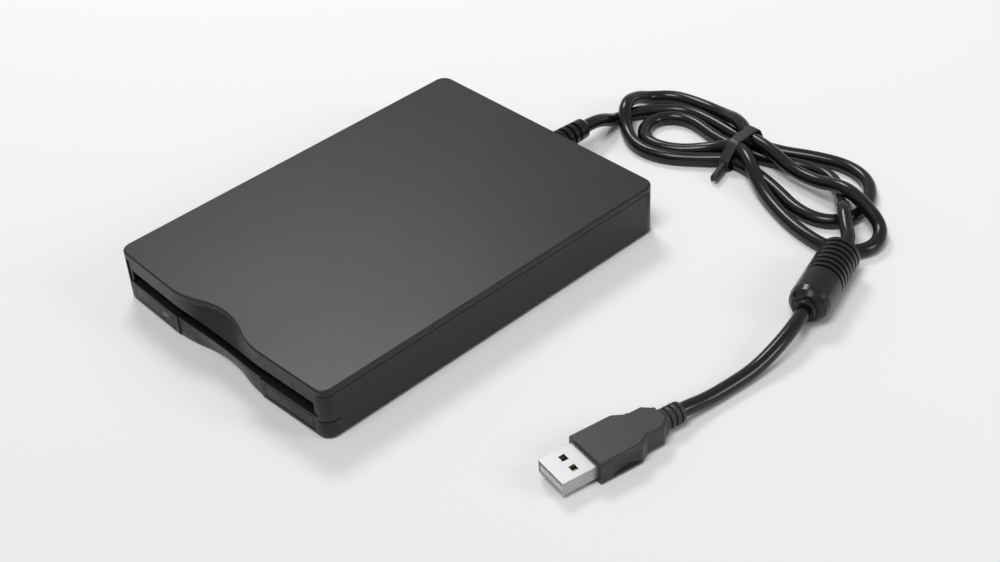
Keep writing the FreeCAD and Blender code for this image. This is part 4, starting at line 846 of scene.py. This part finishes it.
@dataclass
class Windings:
    """The springs and the thread, which the CAD nodes only stand in for.

    A wire's or coil's size is its radius. Springs fill the boxes of the nodes that they replace. The
    screw's piece starts screw_end behind the front of its node.
    """

    wire: float = 0.28 * MM
    slider_turns: int = 26
    slider_hook: float = 0.8 * MM
    lever_turns: int = 3
    door_wire: float = 0.2 * MM
    door_coil: float = 0.85 * MM
    door_turns: int = 4
    thread_depth: float = 0.35 * MM
    thread_pitch: float = 3.75 * MM
    thread_power: int = 6
    screw_end: float = 0.9 * MM
    run_in: float = 0.8 * MM
    run_out: float = 1.0 * MM
    plain_end: float = 5.0 * MM

    def slider_springs(self) -> None:
        """Two extension springs as one piece, each a helix from its fixed front hook to the slider's ear.
        """
        low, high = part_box("slider_springs")
        radius = (high.z - low.z) / 2 - self.wire
        length = high.y - low.y - 2 * self.wire
        z = (low.z + high.z) / 2
        wires = []
        for x in (low.x + radius + self.wire, high.x - radius - self.wire):
            path = helix(1, (x, low.y + self.wire, z), length, radius, self.slider_turns, steps=14)
            wires.append(swept_tube(path, self.wire, sides=6))
        springs = tubes_object("slider_spring_wires", wires)
        finish_piece(springs, None, BRIGHT, "slider_springs")
        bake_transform(springs)

    def door_spring(self) -> None:
        """The door's torsion spring, whose coil and one leg turn with the door.

        The other leg lies on the bezel.
        """
        low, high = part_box("door_spring")
        reach = self.door_coil + self.door_wire
        x, y, z = low.x + self.door_wire, low.y + reach, high.z - reach
        width = high.x - low.x - 2 * self.door_wire
        coil = helix(0, (x, y, z), width, self.door_coil, self.door_turns, steps=20)
        down = np.linspace(z, low.z + self.door_wire, 9)[1:]
        leg = np.stack([np.full_like(down, x + width), np.full_like(down, y + self.door_coil), down], -1)
        turning = swept_tube(np.vstack([coil, leg]), self.door_wire, sides=8)
        finish_piece(tubes_object("door_spring_wire", [turning]), "door", BRIGHT, "door_spring")
        along = np.linspace(y, high.y, 7)
        path = np.stack([np.full_like(along, x), along, np.full_like(along, z + self.door_coil)], -1)
        lying = swept_tube(path, self.door_wire, sides=8)
        finish_piece(tubes_object("door_spring_leg", [lying]), "housing", BRIGHT)

    def lever_spring(self) -> None:
        """The coil round the eject lever's post."""
        low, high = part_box("lever_spring")
        radius = (high.x - low.x) / 2 - self.wire
        centre = ((low.x + high.x) / 2, (low.y + high.y) / 2, low.z + self.wire)
        path = helix(2, centre, high.z - low.z - 2 * self.wire, radius, self.lever_turns, steps=32)
        coil = swept_tube(path, self.wire, sides=8)
        finish_piece(tubes_object("lever_spring_wire", [coil]), "housing", BRIGHT, "lever_spring")

    def lead_screw(self) -> None:
        """The lead screw with its thread: a revolved rod whose radius falls by a groove on a helix.

        The radius at a place along Y and an angle is the rod's, less the depth times the cosine of half
        the phase raised to thread_power. The phase is the angle less the turns that the pitch gives. The
        groove deepens over run_in from the front end and fades over run_out before the plain rear end.
        """
        low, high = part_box("lead_screw")
        radius = (high.x - low.x) / 2
        centre = (low + high) / 2
        start = low.y + self.screw_end
        y = np.linspace(start, high.y, 400)[:, None]
        angle = full_turn(40)[None]
        phase = angle - 2 * math.pi * (y - start) / self.thread_pitch
        depth = self.thread_depth * np.cos(phase / 2) ** self.thread_power
        depth *= np.clip((y - start) / self.run_in, 0, 1)
        depth *= np.clip((high.y - self.plain_end - y) / self.run_out, 0, 1)
        r = radius - depth
        x, z = centre.x + r * np.sin(angle), centre.z + r * np.cos(angle)
        side = np.stack([x, np.broadcast_to(y, x.shape), z], -1).reshape(-1, 3)
        verts = np.vstack([side, [(centre.x, start, centre.z), (centre.x, high.y, centre.z)]])
        made = mesh_object("lead_screw_thread", verts, as_faces(capped_faces(y.size, angle.size)))
        finish_piece(made, "screw", BRIGHT, "lead_screw")

    def build(self) -> None:
        """Makes every winding."""
        self.slider_springs()
        self.door_spring()
        self.lever_spring()
        self.lead_screw()


# --------------------------------------------------------------------------------- front and finishing


@dataclass
class FrontBrow:
    """The sloping face between the crests, from the cover's edge down to the slot's upper edge.

    Foot and head are its lowest and highest edge. A recess is how far the wave's middle lies behind the
    crests.
    """

    crest_x: float = 22.0 * MM
    crest_y: float = -71.6 * MM
    foot: float = 12.5 * MM
    head: float = 16.45 * MM
    foot_recess: float = 0.45 * MM
    head_recess: float = 4.75 * MM
    face_power: float = 0.8
    back_foot_recess: float = 4.0 * MM
    back_head_recess: float = 5.0 * MM
    back_room: float = 0.3 * MM
    back_slope: float = 4.0
    proud: float = 0.02 * MM
    end_share: float = 0.08
    end_dip: float = 0.15 * MM
    edge_round: float = 0.3 * MM

    def wave(self, x: np.ndarray, recess: np.ndarray) -> np.ndarray:
        """How far the front lies behind its crests: two arcs of one radius with a common tangent.

        The flank's arc turns one way from the crest to halfway, and the middle's the other way.

        Args:
            x: places across the front.
            recess: the depth in the middle, for each place.

        Returns:
            The depth at each place.
        """
        across = np.abs(x)
        bend = 2 * np.arctan(recess / self.crest_x)
        radius = self.crest_x / 2 / np.sin(bend)
        flank = radius - np.sqrt(radius ** 2 - (self.crest_x - across) ** 2)
        middle = recess - radius + np.sqrt(np.maximum(radius ** 2 - across ** 2, 0))
        return np.where(across > self.crest_x / 2, flank, middle)

    def shape(self) -> bpy.types.Object:
        """The face is the wave at each height, with a recess that grows from foot to head by face_power.

        Over end_share of its half width at each end it dips by end_dip, behind the lip. The back is a
        wave too, inside the lip. It lies back_room deeper at the foot and the ends.

        Returns:
            The brow as one closed piece.
        """
        across = np.linspace(-1, 1, 97)
        up = np.linspace(0, 1, 13)
        x, rise = np.meshgrid(self.crest_x * across, up, indexing="ij")
        face_grows = self.head_recess - self.foot_recess
        back_grows = self.back_head_recess - self.back_foot_recess
        face_recess = self.foot_recess + face_grows * rise ** self.face_power
        back_recess = self.back_foot_recess + back_grows * rise ** 2
        end = np.clip((np.abs(x) / self.crest_x - (1 - self.end_share)) / self.end_share, 0, 1)
        face = self.crest_y + self.wave(x, face_recess) - self.proud + self.end_dip * end ** 2
        room = self.back_room * np.minimum(1, self.back_slope * (1 - rise) + end)
        back = self.crest_y + self.wave(x, back_recess) + room
        z = self.foot + (self.head - self.foot) * rise
        front_side = np.stack([x, face, z], -1)
        back_side = np.stack([x, back, z], -1)[:, ::-1]
        loop = np.concatenate([front_side, back_side], axis=1)
        rows, columns = loop.shape[:2]
        faces = grid_faces(rows, columns, False, True)[:, ::-1].tolist()
        end_loop = np.arange(columns)
        faces.append(end_loop.tolist())
        faces.append((end_loop[::-1] + (rows - 1) * columns).tolist())
        return mesh_object("front_brow", loop.reshape(-1, 3), faces, False)

    def build(self) -> None:
        """Makes the brow and rounds its edges."""
        brow = finish_piece(self.shape(), "housing", HOUSING)
        round_edges(brow, self.edge_round, segments=3)


@dataclass
class CadFinishes:
    """Finishes for the CAD nodes that show as they are, with a fine round on moulded edges."""

    weld: float = 0.01 * MM
    soft_edges: dict[str, float] = field(default_factory=lambda: {
        "top_cover": 0.22 * MM, "bottom_case": 0.25 * MM, "front_bezel": 0.18 * MM,
        "eject_button": 0.12 * MM, "dust_door": 0.12 * MM, "plug_body": 0.15 * MM,
        "plug_shell": 0.06 * MM,
    })

    def soften(self, piece: bpy.types.Object, width: float) -> None:
        """Joins a node's loose faces and rounds its sharp edges.

        Args:
            piece: the CAD node's object.
            width: the round's width in metres.
        """
        joined = piece.modifiers.new("weld", "WELD")
        joined.merge_threshold = self.weld
        round_edges(piece, width, segments=2)

    def build(self) -> None:
        """Dresses every shown CAD node by its material slot."""
        slots = {row["node"]: row["material_slot"] for row in frame["record"]["subparts"]}
        shown = {name: piece for name, piece in frame["nodes"].items() if not piece.hide_render}
        for name, piece in shown.items():
            BY_SLOT[slots[name]].dress(piece)
            if name in self.soft_edges:
                self.soften(piece, self.soft_edges[name])
        log.info("dressed %d CAD nodes", len(shown))


def main() -> None:
    """Builds the room, the cord, the windings and the finishes, in that order."""
    logging.basicConfig(level=logging.INFO, format="%(message)s")
    grain_group()
    brushed_group()
    Studio().build()
    Cord().build()
    Windings().build()
    FrontBrow().build()
    CadFinishes().build()


if __name__ == "__main__":
    main()
